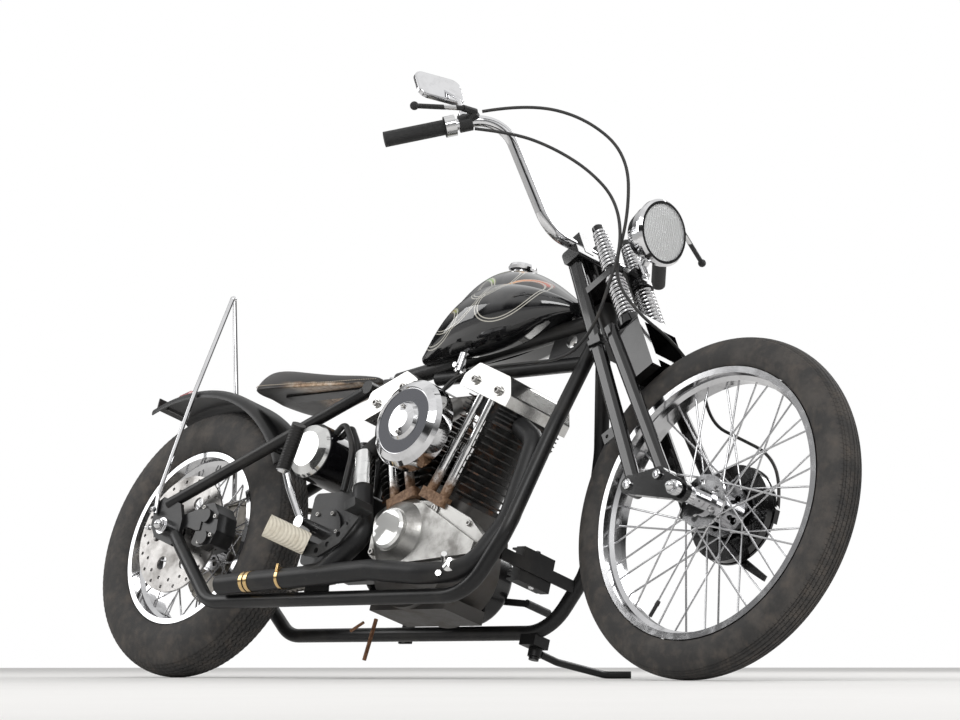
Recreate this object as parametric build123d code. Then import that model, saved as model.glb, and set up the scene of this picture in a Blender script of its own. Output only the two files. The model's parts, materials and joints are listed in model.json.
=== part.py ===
from build123d import *
import math
import os

# Chopper motorcycle, parked leaning on its side stand.
# Millimetres. +X forward, +Y to the rider's left, +Z up, floor at Z 0.
# Pieces are drawn upright, origin at the rear axle. Those of the fork are drawn in the
# steering frame: x forward and y left of the steering axis, z up along it.

# Stance
WHEELBASE = 1586.5
LEAN = 16.9
RAKE = 32.5
AXLE_OFFSET = 101.4
STEER_AT_REST = -3.3

# Tyres and rims
FRONT_RADIUS = 352.0
FRONT_CROWN = 45.0
FRONT_WIDTH = 82.0
FRONT_RIM_RADIUS = 281.5
FRONT_RIM_WIDTH = 69.0
REAR_RADIUS = 331.0
REAR_CROWN = 70.0
REAR_WIDTH = 124.0
REAR_RIM_RADIUS = 217.0
REAR_RIM_WIDTH = 99.0
RIM_WALL = 4.0
RIM_WELL_DEPTH = 22.0
BEAD_DEPTH = 9.0
BEAD_CLEARANCE = 0.3
SPOKE_COUNT = 40
SPOKE_D = 4.0

# Hubs, axles, brakes
AXLE_D = 25.4
AXLE_CLEARANCE = 0.05
HUB_D = 62.0
FLANGE_D = 110.0
FLANGE_HOLES = 5
FLANGE_HOLE_D = 16.0
FLANGE_T = 7.0
FRONT_FLANGE_Y = 32.0
REAR_FLANGE_Y = 42.0
DRUM_D = 200.0
DRUM_T = 18.0
BRAKE_PLATE_T = 5.0
DISC_D = 292.0
DISC_T = 6.0
DISC_Y = 72.0
DISC_HOLES = 36
SPROCKET_TEETH = 51
CHAIN_PITCH = 15.875
CHAIN_ROLLER_D = 10.2
CHAIN_Y = 78.0
DRIVE_AT = (560.0, 2.0)
DRIVE_TEETH = 24

# Fork
ROCKER_Y = 99.0
ROCKER_T = 14.0
ROCKER_REAR = (-8.0, 94.0)
ROCKER_MID = (67.0, 64.0)
LEG_WIDE = 34.0
LEG_THICK = 20.0
RIGID_TOP = (4.0, 52.0)
SPRING_LEG_TOP = (44.0, 66.0, 500.0)
TOP_CLAMP_W = 745.0
PERCH_W = 632.0
YOKE_W = 490.0
SPRING_X = 82.0
SPRING_Y = 45.0
SPRING_D = 44.0
SPRING_TOP_D = 30.0
SPRING_WIRE = 6.5
SPRING_PITCH = 10.6
SPRING_SEAT = 0.3
SPRING_TOP_W = 768.0
LEG_EYE_T = 20.0
PIVOT_GAP = 0.5
PIVOT_D = 16.0
TAB_HOLE_R = 4.25
TAB_T = 6.0
TAB_AT = (-38.0, 76.0, 255.0)
BAR_D = 25.4
BAR_BASE = (14.0, 778.0)
BAR_LOW_Y = 128.0
BAR_CORNER = (78.0, 262.0, 1013.0)
BAR_END = (-108.0, 440.0, 1007.0)
BAR_BEND = 80.0
GRIP_LENGTH = 130.0
GRIP_D = 34.0
PERCH_AT = 176.0
LEVER_TIP = (8.0, 466.0, 990.0)
HEADLIGHT_AT = (208.0, 676.0)
HEADLIGHT_D = 136.0

# Frame tubes
TUBE_D = 32.0
RAIL_Y = 130.0
RAIL_Z = -193.0
RAIL_END = (72.0, 114.0, -52.0)
NECK_D = 50.0
BACKBONE_D = 38.0
BACKBONE_REAR = (570.0, 374.0)
LOWER_TUBE_Z = (366.0, 368.0)
NECK_LOW = 505.0
NECK_HIGH = 618.0
STAY_D = 28.0
AXLE_PLATE_Y = (107.0, 117.0)
AXLE_PLATE_TOP = 80.0
# Cross tube that carries the front end of the fender, as x and z

STAND_PIVOT = (1030.0, 146.0, -232.0)
STAND_EYE = 18.0
STAND_PIN_D = 14.0
STAND_GAP = 0.5
STAND_D = 16.0
# Stand: its knee as x, y and height, then where its heel and toe lie on the floor as x and y
STAND_KNEE = (1052.0, 196.0, -238.0)
STAND_HEEL = (1082.0, 318.0)
STAND_TOE = (1126.0, 352.0)

# Engine
CRANK = (827.0, -78.0)
VEE_HALF = 22.5
CLUTCH_AT = (590.0, -5.0)
KICK_AT = (528.0, -22.0)
KICK_D = 18.0
PRIMARY_OUTER_Y = 160.0
CONE_AT = (795.0, -38.0)
CYLINDER_BASE = 150.0
CYLINDER_TOP = 332.0
FIN_COUNT = 12
PUSHROD_Y = -92.0
FIN_HALF = 88.0
FIN_T = 3.0
BORE_D = 128.0
AIR_CLEANER_AT = (822.0, 190.0)
AIR_CLEANER_D = 200.0
AIR_CLEANER_Y = (-192.0, -132.0)
PIPE_D = 46.0
PIPE_WALL = 2.0
FIT_GAP = 0.3
ROCKER_BOX_HEIGHT = 62.0
HEAD_HEIGHT = 40.0
HEAD_FINS = 4
MANIFOLD_D = 38.0
MANIFOLD_Z = 286.0
MANIFOLD_ENDS = (786.0, 868.0)

# Bodywork
# Centre of the fender's arc as x and z, and its angles from the front, anticlockwise from the right
FENDER_AT = (-85.0, -62.0)
FENDER_BRIDGE = (294.0, 194.2)
FENDER_BRIDGE_D = 18.0
FENDER_RADIUS = math.dist(FENDER_AT, FENDER_BRIDGE) - FENDER_BRIDGE_D / 2 - FIT_GAP
FENDER_T = 3.0
FENDER_WIDTH = 128.0
FENDER_DEPTH = 26.0
FENDER_SPAN = (32.5, 113.0)
SEAT_STRIP_T = 6.0
SEAT_Z = 362.0
SISSY_D = 11.0
TAIL_LAMP_D = 36.0
SISSY_TOP = (-125.0, 655.0)
OIL_TANK_AT = (448.0, 170.5)
OIL_TANK_D = 132.0
PEG_D = 52.0
PEG_BORE = 40.0
PEG_AT = (600.0, 170.0, -84.0)
PEG_TIP = (536.0, 252.0, -62.0)
HOSE_D = 14.0
CABLE_D = 7.0


def contact_height(radius, crown, axis_rise):
    """Axle height above the floor of a wheel with a round crown whose axis rises to one side."""
    return (radius - crown) * math.sqrt(1 - axis_rise ** 2) + crown


# Heights that put both leaning tyres on the floor
lean, rake, turn = (math.radians(angle) for angle in (LEAN, RAKE, STEER_AT_REST))
REAR_HEIGHT = contact_height(REAR_RADIUS, REAR_CROWN, math.sin(lean))
front_rise = math.cos(turn) * math.sin(lean) + math.sin(turn) * math.sin(rake) * math.cos(lean)
FRONT_HEIGHT = contact_height(FRONT_RADIUS, FRONT_CROWN, front_rise)
turned_y = AXLE_OFFSET * math.sin(turn)
turned_z = AXLE_OFFSET * (math.cos(turn) - 1) * math.sin(rake)
FRONT_Z = (FRONT_HEIGHT - REAR_HEIGHT + turned_y * math.sin(lean)) / math.cos(lean) - turned_z

# Places of the two frames
ahead = Vector(math.cos(rake), 0, math.sin(rake))
steer_up = Vector(-math.sin(rake), 0, math.cos(rake))
steer_origin = Vector(WHEELBASE, 0, FRONT_Z) - ahead * AXLE_OFFSET
STEERING = Plane(origin=steer_origin, x_dir=ahead, z_dir=steer_up)
FORK = STEERING.location * Location((0, 0, 0), (0, 0, STEER_AT_REST))
SHIFT_X = (REAR_RADIUS - WHEELBASE - FRONT_RADIUS) / 2
SHIFT_Y = -207.2
PARK = Location((SHIFT_X, SHIFT_Y, REAR_HEIGHT)) * Location((0, 0, 0), (-LEAN, 0, 0))


def mirror_y(point):
    return (point[0], -point[1], point[2])


def rod(start, end, diameter):
    """A round bar between two points."""
    line = Vector(*end) - Vector(*start)
    plane = Plane(origin=Vector(*start), z_dir=line.normalized())
    return extrude(plane * Circle(diameter / 2), line.length)


def strut(start, end, wide, thick):
    """A straight bar of oval section, thin across the motorcycle."""
    line = Vector(*end) - Vector(*start)
    across = Vector(0, 1, 0)
    plane = Plane(origin=Vector(*start), x_dir=across.cross(line.normalized()), z_dir=line.normalized())
    return extrude(plane * SlotOverall(wide, thick), line.length)


def bent_tube(points, radii, diameter, bore=0.0):
    """A round tube along straight runs joined by tangent arcs."""
    path = FilletPolyline(*points, radius=radii)
    section = Plane(origin=path @ 0, z_dir=path % 0) * Circle(diameter / 2)
    body = sweep(section, path=path)
    if bore:
        inner = Plane(origin=path @ 0, z_dir=path % 0) * Circle(bore / 2)
        body = body - sweep(inner, path=path)
    return body


def barrel(x, z, y_from, y_to, diameter):
    """A cylinder that lies across the motorcycle."""
    plane = Plane(origin=(x, y_from, z), x_dir=(1, 0, 0), z_dir=(0, 1, 0))
    return extrude(plane * Circle(diameter / 2), y_to - y_from)


def plate(outline, y_from, y_to):
    """A flat plate whose outline is given as x and z."""
    flat = Plane(origin=(0, y_from, 0), x_dir=(1, 0, 0), z_dir=(0, -1, 0))
    face = flat * make_face(Polyline(*[(x, z) for x, z in outline], close=True))
    return extrude(face, y_from - y_to)


def cord(points, diameter):
    """A cable along straight runs, with the widest tangent arc that each corner takes."""
    runs = [Vector(*b) - Vector(*a) for a, b in zip(points, points[1:])]
    radii = []
    for before, after in zip(runs, runs[1:]):
        half_turn = math.radians(before.get_angle(after)) / 2
        radii.append(0.45 * min(before.length, after.length) / math.tan(half_turn))
    return bent_tube(points, radii, diameter)


def on_axis(x, z, y, outline):
    """A turned piece whose axis lies across the motorcycle, from points of radius and distance out."""
    face = make_face(Polyline(*[(radius, out) for radius, out in outline], close=True))
    turned = revolve(Plane.XZ * face, Axis.Z)
    return Pos(x, y, z) * Rot(X=90) * turned


def wheel_tyre(radius, crown, width, rim_radius, rim_width):
    half = width / 2
    edge = math.radians(50)
    shoulder = (radius - crown + crown * math.cos(edge), crown * math.sin(edge))
    bead = (rim_radius - BEAD_DEPTH + BEAD_CLEARANCE, rim_width / 2 - RIM_WALL - BEAD_CLEARANCE)
    lip = (rim_radius + 2, bead[1])
    wide = ((shoulder[0] + rim_radius) / 2, half)
    outline = Polyline((bead[0], -bead[1]), (bead[0], bead[1]), lip)
    outline += ThreePointArc(lip, wide, shoulder)
    outline += ThreePointArc(shoulder, (radius, 0), (shoulder[0], -shoulder[1]))
    outline += ThreePointArc((shoulder[0], -shoulder[1]), (wide[0], -wide[1]), (lip[0], -lip[1]))
    outline += Line((lip[0], -lip[1]), (bead[0], -bead[1]))
    return Rot(X=90) * revolve(Plane.XZ * make_face(outline), Axis.Z)


def wheel_rim(rim_radius, rim_width, flange_y, hub_y):
    half = rim_width / 2
    seat = rim_radius - BEAD_DEPTH
    well = rim_radius - RIM_WELL_DEPTH
    section = [(half, rim_radius), (half, seat - RIM_WALL), (half * 0.45, seat - RIM_WALL)]
    section += [(half * 0.3, well), (-half * 0.3, well), (-half * 0.45, seat - RIM_WALL)]
    section += [(-half, seat - RIM_WALL), (-half, rim_radius), (RIM_WALL - half, rim_radius)]
    section += [(RIM_WALL - half, seat), (-half * 0.4, seat), (-half * 0.25, well + RIM_WALL)]
    section += [(half * 0.25, well + RIM_WALL), (half * 0.4, seat), (half - RIM_WALL, seat)]
    section += [(half - RIM_WALL, rim_radius)]
    face = make_face(Polyline(*[(r, y) for y, r in section], close=True))
    rim = Rot(X=90) * revolve(Plane.XZ * face, Axis.Z)
    hub = barrel(0, 0, -hub_y, hub_y, HUB_D)
    for side in (-1, 1):
        middle = side * flange_y
        hub += barrel(0, 0, middle - FLANGE_T / 2, middle + FLANGE_T / 2, FLANGE_D)
    hub -= barrel(0, 0, -hub_y, hub_y, AXLE_D + 2 * AXLE_CLEARANCE)
    windows = []
    for index in range(FLANGE_HOLES):
        angle = math.radians(index * 360 / FLANGE_HOLES)
        reach = (HUB_D / 2 + FLANGE_D / 2 - 12) / 2 + 1
        x, z = reach * math.cos(angle), reach * math.sin(angle)
        for side in (-1, 1):
            middle = side * flange_y
            windows.append(barrel(x, z, middle - FLANGE_T, middle + FLANGE_T, FLANGE_HOLE_D))
    hub = hub.cut(*windows)
    spokes = []
    step = 360 / SPOKE_COUNT
    hole_radius = FLANGE_D / 2 - 7
    for index in range(SPOKE_COUNT):
        side = 1 if index % 2 else -1
        swing = 62 if index % 4 < 2 else -62
        outer = math.radians(index * step)
        inner = math.radians(index * step + swing)
        low = (hole_radius * math.cos(inner), side * flange_y, hole_radius * math.sin(inner))
        reach = well + RIM_WALL / 2
        high = (reach * math.cos(outer), side * half * 0.12, reach * math.sin(outer))
        spokes.append(rod(low, high, SPOKE_D))
    return rim.fuse(hub, *spokes)


def front_tyre():
    return wheel_tyre(FRONT_RADIUS, FRONT_CROWN, FRONT_WIDTH, FRONT_RIM_RADIUS, FRONT_RIM_WIDTH)


def rear_tyre():
    return wheel_tyre(REAR_RADIUS, REAR_CROWN, REAR_WIDTH, REAR_RIM_RADIUS, REAR_RIM_WIDTH)


def front_rim():
    return wheel_rim(FRONT_RIM_RADIUS, FRONT_RIM_WIDTH, FRONT_FLANGE_Y, FRONT_FLANGE_Y + 12)


def rear_rim():
    return wheel_rim(REAR_RIM_RADIUS, REAR_RIM_WIDTH, REAR_FLANGE_Y, REAR_FLANGE_Y + 14)


def front_drum():
    start = FRONT_FLANGE_Y + 12
    drum = barrel(0, 0, start, start + DRUM_T, DRUM_D)
    drum -= barrel(0, 0, start + 6, start + DRUM_T, DRUM_D - 16)
    return drum - barrel(0, 0, start, start + 6, AXLE_D + 2 * AXLE_CLEARANCE)


def brake_disc():
    start = -REAR_FLANGE_Y - 14
    disc = barrel(0, 0, -DISC_Y - DISC_T / 2, -DISC_Y + DISC_T / 2, DISC_D)
    disc += barrel(0, 0, -DISC_Y - DISC_T / 2, start, 120)
    disc -= barrel(0, 0, -DISC_Y - DISC_T, start, AXLE_D + 14)
    window = 360 / 6
    holes = []
    for row, radius in enumerate((DISC_D / 2 - 12, DISC_D / 2 - 30)):
        for index in range(DISC_HOLES // 2):
            angle = math.radians((index + row / 2) * 720 / DISC_HOLES)
            x = radius * math.cos(angle)
            z = radius * math.sin(angle)
            holes.append(barrel(x, z, -DISC_Y - DISC_T, -DISC_Y + DISC_T, 9))
    for index in range(6):
        angle = math.radians(index * window)
        holes.append(barrel(84 * math.cos(angle), 84 * math.sin(angle), -DISC_Y - DISC_T, -DISC_Y + DISC_T, 34))
    return disc.cut(*holes)


def sprocket_radius(teeth):
    return CHAIN_PITCH / 2 / math.sin(math.pi / teeth)


def rear_sprocket():
    outer = sprocket_radius(SPROCKET_TEETH)
    start = REAR_FLANGE_Y + 14
    wheel = barrel(0, 0, CHAIN_Y - 4, CHAIN_Y + 4, 2 * outer - CHAIN_ROLLER_D - 0.6)
    wheel += barrel(0, 0, start, CHAIN_Y + 4, 120)
    return wheel - barrel(0, 0, start, CHAIN_Y + 5, AXLE_D + 14)


def drive_chain():
    """The chain as one closed band round both sprockets."""
    big = sprocket_radius(SPROCKET_TEETH)
    small = sprocket_radius(DRIVE_TEETH)
    half = CHAIN_ROLLER_D / 2
    bands = []
    for grow in (half, -half):
        near = barrel(0, 0, CHAIN_Y - 9, CHAIN_Y + 9, 2 * (big + grow))
        far = barrel(DRIVE_AT[0], DRIVE_AT[1], CHAIN_Y - 9, CHAIN_Y + 9, 2 * (small + grow))
        lift = math.atan2(DRIVE_AT[1], DRIVE_AT[0])
        reach = math.hypot(*DRIVE_AT)
        open_angle = math.acos((big - small) / reach)
        corners = []
        for radius, centre in ((big + grow, (0, 0)), (small + grow, DRIVE_AT)):
            for turn in (open_angle, -open_angle):
                x = centre[0] + radius * math.cos(lift + turn)
                z = centre[1] + radius * math.sin(lift + turn)
                corners.append((x, z))
        a, b, c, d = corners
        bands.append(near + far + plate([a, c, d, b], CHAIN_Y - 9, CHAIN_Y + 9))
    return bands[0] - bands[1]


def rear_axle():
    reach = 140
    axle = barrel(0, 0, -reach, reach, AXLE_D)
    for side in (-1, 1):
        nut = sorted((side * 117.3, side * 134))
        axle += barrel(0, 0, nut[0], nut[1], 40)
        inner = 98.4 if side < 0 else 106.7
        spacer = sorted((side * 60, side * inner))
        axle += barrel(0, 0, spacer[0], spacer[1], 32)
    return axle


def front_axle():
    reach = ROCKER_Y + ROCKER_T / 2 + 6
    axle = barrel(0, 0, -reach, reach, AXLE_D - 6)
    near = FRONT_FLANGE_Y + 12.5
    axle += barrel(0, 0, -near - 0.5, near + 0.5, AXLE_D)
    axle += barrel(0, 0, -ROCKER_Y + ROCKER_T / 2, -near, 34)
    for side in (-1, 1):
        low = min(side * reach, side * (reach + 14))
        axle += barrel(0, 0, low, low + 14, 30)
    return axle


def fork_rigid_legs():
    """Steering stem, crowns and the two legs that end at the rockers' rear pivots."""
    group = rod((0, 0, NECK_LOW - 24), (0, 0, TOP_CLAMP_W), AXLE_D)
    bottom = (ROCKER_REAR[0], ROCKER_Y - ROCKER_T / 2 - LEG_EYE_T / 2 - PIVOT_GAP, ROCKER_REAR[1])
    for side in (-1, 1):
        top = (RIGID_TOP[0], side * RIGID_TOP[1], TOP_CLAMP_W)
        low = (bottom[0], side * bottom[1], bottom[2])
        group += strut(top, low, LEG_WIDE, LEG_THICK)
        group += barrel(low[0], low[2], low[1] - LEG_EYE_T / 2, low[1] + LEG_EYE_T / 2, 40)
        pin = sorted((side * ROCKER_Y, low[1]))
        group += barrel(low[0], low[2], pin[0], pin[1], PIVOT_D)
        tab_y = side * TAB_AT[1]
        tab = Pos(TAB_AT[0] / 2 - 6, tab_y, TAB_AT[2]) * Box(12 - TAB_AT[0], TAB_T, 26)
        group += tab - barrel(TAB_AT[0], TAB_AT[2], tab_y - TAB_T, tab_y + TAB_T, 2 * TAB_HOLE_R)
    crown = [(-16, 74), (-16, -74), (16, -74), (24, -38), (40, -30), (40, 30), (24, 38), (16, 74)]
    group += Pos(0, 0, NECK_LOW - 27) * extrude(make_face(Polyline(*crown, close=True)), 26)
    perch = Pos(44, 0, PERCH_W) * Box(128, 128, 16)
    group += fillet(perch.edges().filter_by(Axis.Z), 20)
    group += Pos(110, 0, PERCH_W - 7) * Box(20, 30, 30)
    clamp = Pos(10, 0, TOP_CLAMP_W) * Box(46, 138, 34)
    group += fillet(clamp.edges().filter_by(Axis.Y), 8)
    for side in (-1, 1):
        group += Pos(BAR_BASE[0], side * 32, TOP_CLAMP_W + 30) * Box(40, 26, 60)
    group -= rod((BAR_BASE[0], -80, BAR_BASE[1]), (BAR_BASE[0], 80, BAR_BASE[1]), BAR_D + 0.4)
    rods = [rod((SPRING_X, side * SPRING_Y, 600), (SPRING_X, side * SPRING_Y, 660), 17) for side in (-1, 1)]
    return group.cut(*rods)


def fork_spring_legs():
    """The sprung legs, joined over the tyre by the yoke that carries the spring rods."""
    bottom = (ROCKER_MID[0], ROCKER_Y - ROCKER_T / 2 - LEG_EYE_T / 2 - PIVOT_GAP, ROCKER_MID[1])
    outline = [(-SPRING_LEG_TOP[1], YOKE_W), (SPRING_LEG_TOP[1], YOKE_W), (SPRING_LEG_TOP[1] + 4, YOKE_W - 150)]
    outline += [(-SPRING_LEG_TOP[1] - 4, YOKE_W - 150)]
    web = Plane.YZ * make_face(Polyline(*outline, close=True))
    group = Pos(44, 0, 0) * extrude(web, 74)
    group = fillet(group.edges().filter_by(Axis.X).sort_by(Axis.Z)[-2:], 22)
    group -= barrel(AXLE_OFFSET, 0, -45, 45, 2 * FRONT_RADIUS + 18)
    group -= Pos(96, 0, YOKE_W - 70) * Box(70, 96, 90)
    for side in (-1, 1):
        top = (SPRING_LEG_TOP[0], side * SPRING_LEG_TOP[1], SPRING_LEG_TOP[2])
        low = (bottom[0], side * bottom[1], bottom[2])
        group += strut(top, low, LEG_WIDE - 4, LEG_THICK)
        group += barrel(low[0], low[2], low[1] - LEG_EYE_T / 2, low[1] + LEG_EYE_T / 2, 38)
        pin = sorted((side * (ROCKER_Y + ROCKER_T / 2 + 2), low[1]))
        group += barrel(low[0], low[2], pin[0], pin[1], PIVOT_D)
        cup = (SPRING_X, side * SPRING_Y, YOKE_W - 10)
        group += rod(cup, (SPRING_X, side * SPRING_Y, YOKE_W + 10), SPRING_D + 8)
        group += rod(cup, (SPRING_X, side * SPRING_Y, SPRING_TOP_W), 12)
        group += rod((SPRING_X, side * SPRING_Y, SPRING_TOP_W - 6), (SPRING_X, side * SPRING_Y, SPRING_TOP_W + 6), 26)
    return group


def coil(low, high, foot_radius, head_radius):
    """A round wire wound up to a height, with its two ends flat on their seats."""
    height = high - low - SPRING_WIRE
    taper = math.degrees(math.atan2(head_radius - foot_radius, height))
    turns = round(height / SPRING_PITCH)
    line = Helix(height / turns, height, foot_radius, center=(0, 0, low + SPRING_WIRE / 2), cone_angle=taper)
    section = Plane(origin=line @ 0, z_dir=line % 0) * Circle(SPRING_WIRE / 2)
    return sweep(section, path=line, is_frenet=True)


def fork_springs():
    radius = (SPRING_D - SPRING_WIRE) / 2
    head = (SPRING_TOP_D - SPRING_WIRE) / 2
    group = []
    for side in (-1, 1):
        lower = coil(YOKE_W + 10 + SPRING_SEAT, PERCH_W - 8 - SPRING_SEAT, radius, radius)
        upper = coil(PERCH_W + 8 + SPRING_SEAT, SPRING_TOP_W - 6 - SPRING_SEAT, radius, head)
        group += [Pos(SPRING_X, side * SPRING_Y, 0) * spring for spring in (lower, upper)]
    return Compound(children=group)


def fork_rockers():
    group = []
    for side in (-1, 1):
        low = side * ROCKER_Y - ROCKER_T / 2
        high = side * ROCKER_Y + ROCKER_T / 2
        outline = [(ROCKER_REAR[0] - 8, ROCKER_REAR[1] - 18), (ROCKER_REAR[0] + 6, ROCKER_REAR[1] + 16)]
        outline += [(ROCKER_MID[0] + 8, ROCKER_MID[1] + 16), (AXLE_OFFSET + 18, 8), (AXLE_OFFSET - 8, -18)]
        arm = plate(outline, low, high)
        for x, z, size in ((*ROCKER_REAR, 40), (*ROCKER_MID, 36), (AXLE_OFFSET, 0, 44)):
            arm += barrel(x, z, low, high, size)
        for x, z, size in ((*ROCKER_REAR, PIVOT_D), (*ROCKER_MID, PIVOT_D), (AXLE_OFFSET, 0, AXLE_D - 6)):
            arm -= barrel(x, z, low - 1, high + 1, size + 2 * AXLE_CLEARANCE)
        group.append(arm)
    return Compound(children=group)


def handlebar():
    x, z = BAR_BASE
    lower = [(x, y, z) for y in (-BAR_LOW_Y, BAR_LOW_Y)]
    right = [mirror_y(BAR_END), mirror_y(BAR_CORNER), lower[0]]
    left = [lower[1], BAR_CORNER, BAR_END]
    return bent_tube(right + left, [BAR_BEND] * 4, BAR_D)


def grip_line(distance):
    """A point on the bar, at a distance in from its right-hand end."""
    end = Vector(*mirror_y(BAR_END))
    inward = (Vector(*mirror_y(BAR_CORNER)) - end).normalized()
    point = end + inward * distance
    return (point.X, point.Y, point.Z)


def hand_controls():
    """Grips, the throttle's clamp and the two levers on their perches."""
    group = []
    for side in (1, -1):
        def at(distance):
            point = grip_line(distance)
            return (point[0], point[1] * side, point[2])
        grip = rod(at(-4), at(GRIP_LENGTH), GRIP_D) - rod(at(0), at(GRIP_LENGTH + 40), BAR_D + 0.4)
        if side > 0:
            grip += rod(at(GRIP_LENGTH), at(GRIP_LENGTH + 24), 46) - rod(at(0), at(GRIP_LENGTH + 40), BAR_D + 0.4)
        group.append(grip)
        perch = rod(at(PERCH_AT - 14), at(PERCH_AT + 14), 38)
        pivot = at(PERCH_AT)
        knee = (pivot[0] + 34, pivot[1], pivot[2] + 4)
        perch += rod((pivot[0] + 17, pivot[1], pivot[2] + 2), knee, 24)
        tip = (LEVER_TIP[0], LEVER_TIP[1] * -side, LEVER_TIP[2])
        near = (Vector(*knee) * 3 + Vector(*tip)) * 0.25 + Vector(8, 0, 0)
        perch += rod(knee, near, 15) + rod(near, tip, 11) + Pos(*tip) * Sphere(9.5)
        group.append(perch - rod(at(PERCH_AT - 30), at(PERCH_AT + 30), BAR_D + 0.4))
    return Compound(children=group)


def mirror():
    """A rounded square mirror on a stem that stands on the right-hand perch."""
    foot = grip_line(PERCH_AT)
    base = (foot[0], foot[1], foot[2] + 19 + FIT_GAP)
    knee = (base[0] + 2, base[1] - 2, base[2] + 60)
    top = (base[0] - 26, base[1] - 4, base[2] + 112)
    stem = bent_tube([base, knee, top], [40], 10) + rod(base, (base[0], base[1], base[2] + 10), 20)
    head = fillet(Box(12, 116, 78).edges().filter_by(Axis.X), 22)
    head = fillet(head.edges().sort_by(Axis.X)[-8:], 5)
    return stem + Pos(top[0] - 4, top[1] - 10, top[2] + 2) * Rot(Z=-14) * head


def headlight():
    """The lamp's bowl and rim, and the post that carries it on the spring perch."""
    x, z = HEADLIGHT_AT
    radius = HEADLIGHT_D / 2
    outline = [(0, -78), (26, -75), (48, -62), (62, -36), (radius - 1, -14), (radius + 4, -14), (radius + 5, -6)]
    outline += [(radius, 0), (radius - 6, 0), (radius - 6, -10), (58, -34), (44, -58), (24, -70), (0, -73)]
    shell = revolve(Plane.XZ * make_face(Polyline(*outline, close=True)), Axis.Z)
    shell = Rot(Y=90 + RAKE) * shell
    post = rod((129.5, 0, PERCH_W - 20), (129.5, 0, PERCH_W + 14), 18)
    post += rod((129.5, 0, PERCH_W + 6), (x - 46, 0, z - 16), 18)
    return Pos(x, 0, z) * shell + post


def headlight_lens():
    x, z = HEADLIGHT_AT
    radius = HEADLIGHT_D / 2 - 6 - FIT_GAP
    outline = [(0, 4), (radius * 0.6, 2), (radius, -3), (radius, -8), (0, -6)]
    lens = revolve(Plane.XZ * make_face(Polyline(*outline, close=True)), Axis.Z)
    return Pos(x, 0, z) * Rot(Y=90 + RAKE) * lens


def brake_plate():
    """The drum's cover with its cam, cable stop and the arm that the cable pulls."""
    start = FRONT_FLANGE_Y + 12 + DRUM_T + 1.5
    outer = start + BRAKE_PLATE_T
    cover = barrel(0, 0, start, outer, DRUM_D + 4)
    cover -= barrel(0, 0, start - 1, outer + 1, AXLE_D - 6 + 0.2)
    cover += barrel(-30, -84, start, outer + 10, 22)
    arm = [(-38, -92), (-24, -78), (14, -158), (4, -164)]
    cover += plate(arm, outer + 4, outer + 9)
    stop = [(74, -72), (92, -50), (92, -38), (70, -50)]
    cover += plate(stop, start, outer + 8)
    return cover


def frame_backbone():
    neck_top = STEERING.from_local_coords(Vector(0, 0, NECK_HIGH))
    neck_low = STEERING.from_local_coords(Vector(0, 0, NECK_LOW))
    neck = rod(neck_low, neck_top, NECK_D)
    join = STEERING.from_local_coords(Vector(0, 0, NECK_HIGH - 26))
    neck += rod(join, (BACKBONE_REAR[0], 0, BACKBONE_REAR[1]), BACKBONE_D)
    neck += rod((1150, 0, LOWER_TUBE_Z[0]), (700, 0, LOWER_TUBE_Z[1]), TUBE_D)
    gusset = [(1165, 465), (1050, 448), (1040, 380), (1150, 380)]
    neck += plate(gusset, -5, 5) - barrel(1100, 420, -6, 6, 30)
    neck -= rod(neck_low - steer_up * 5, neck_top + steer_up * 5, AXLE_D + 0.1)
    neck += rod((585, -104, 318), (585, 104, 318), TUBE_D)
    neck += rod((585, 0, 366), (572, 0, 76), TUBE_D)
    top = SEAT_Z - FIT_GAP
    neck += plate([(580, top), (200, top), (200, top - SEAT_STRIP_T), (580, top - SEAT_STRIP_T)], -18, 18)
    return neck + plate([(532, top - 2), (580, top - 2), (580, top + 14), (532, top + 14)], -14, 14)


def axle_plate(side):
    low = min(side * AXLE_PLATE_Y[0], side * AXLE_PLATE_Y[1])
    outline = [(-64, 10), (-66, 62), (-40, AXLE_PLATE_TOP), (30, 60), (50, 20), (50, -30), (30, -45), (-40, -22)]
    return plate(outline, low, low + 10)


def side_rail(side):
    head = STEERING.from_local_coords(Vector(-42, side * 16.3, NECK_LOW + 30))
    points = [(head.X, head.Y, head.Z), (1172, side * 78, 190), (1150, side * RAIL_Y, -60)]
    points += [(1075, side * RAIL_Y, RAIL_Z), (240, side * RAIL_Y, RAIL_Z), (RAIL_END[0], side * RAIL_END[1], RAIL_END[2])]
    return bent_tube(points, [300, 120, 110, 90], TUBE_D)


def frame_right_rail():
    return side_rail(-1)


def frame_left_rail():
    """The left tube, with the lug and pin that the side stand turns on."""
    x, y, z = STAND_PIVOT
    top = z + STAND_EYE / 2 + STAND_GAP
    lug = Pos(x, y - 8, (top + RAIL_Z - 6) / 2) * Box(44, 46, RAIL_Z - 6 - top)
    pin = rod((x, y, top + 1), (x, y, z - STAND_EYE / 2 - STAND_GAP), STAND_PIN_D)
    head = rod((x, y, z - STAND_EYE / 2 - STAND_GAP), (x, y, z - STAND_EYE / 2 - STAND_GAP - 7), STAND_PIN_D + 8)
    return side_rail(1) + lug + pin + head


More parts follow.
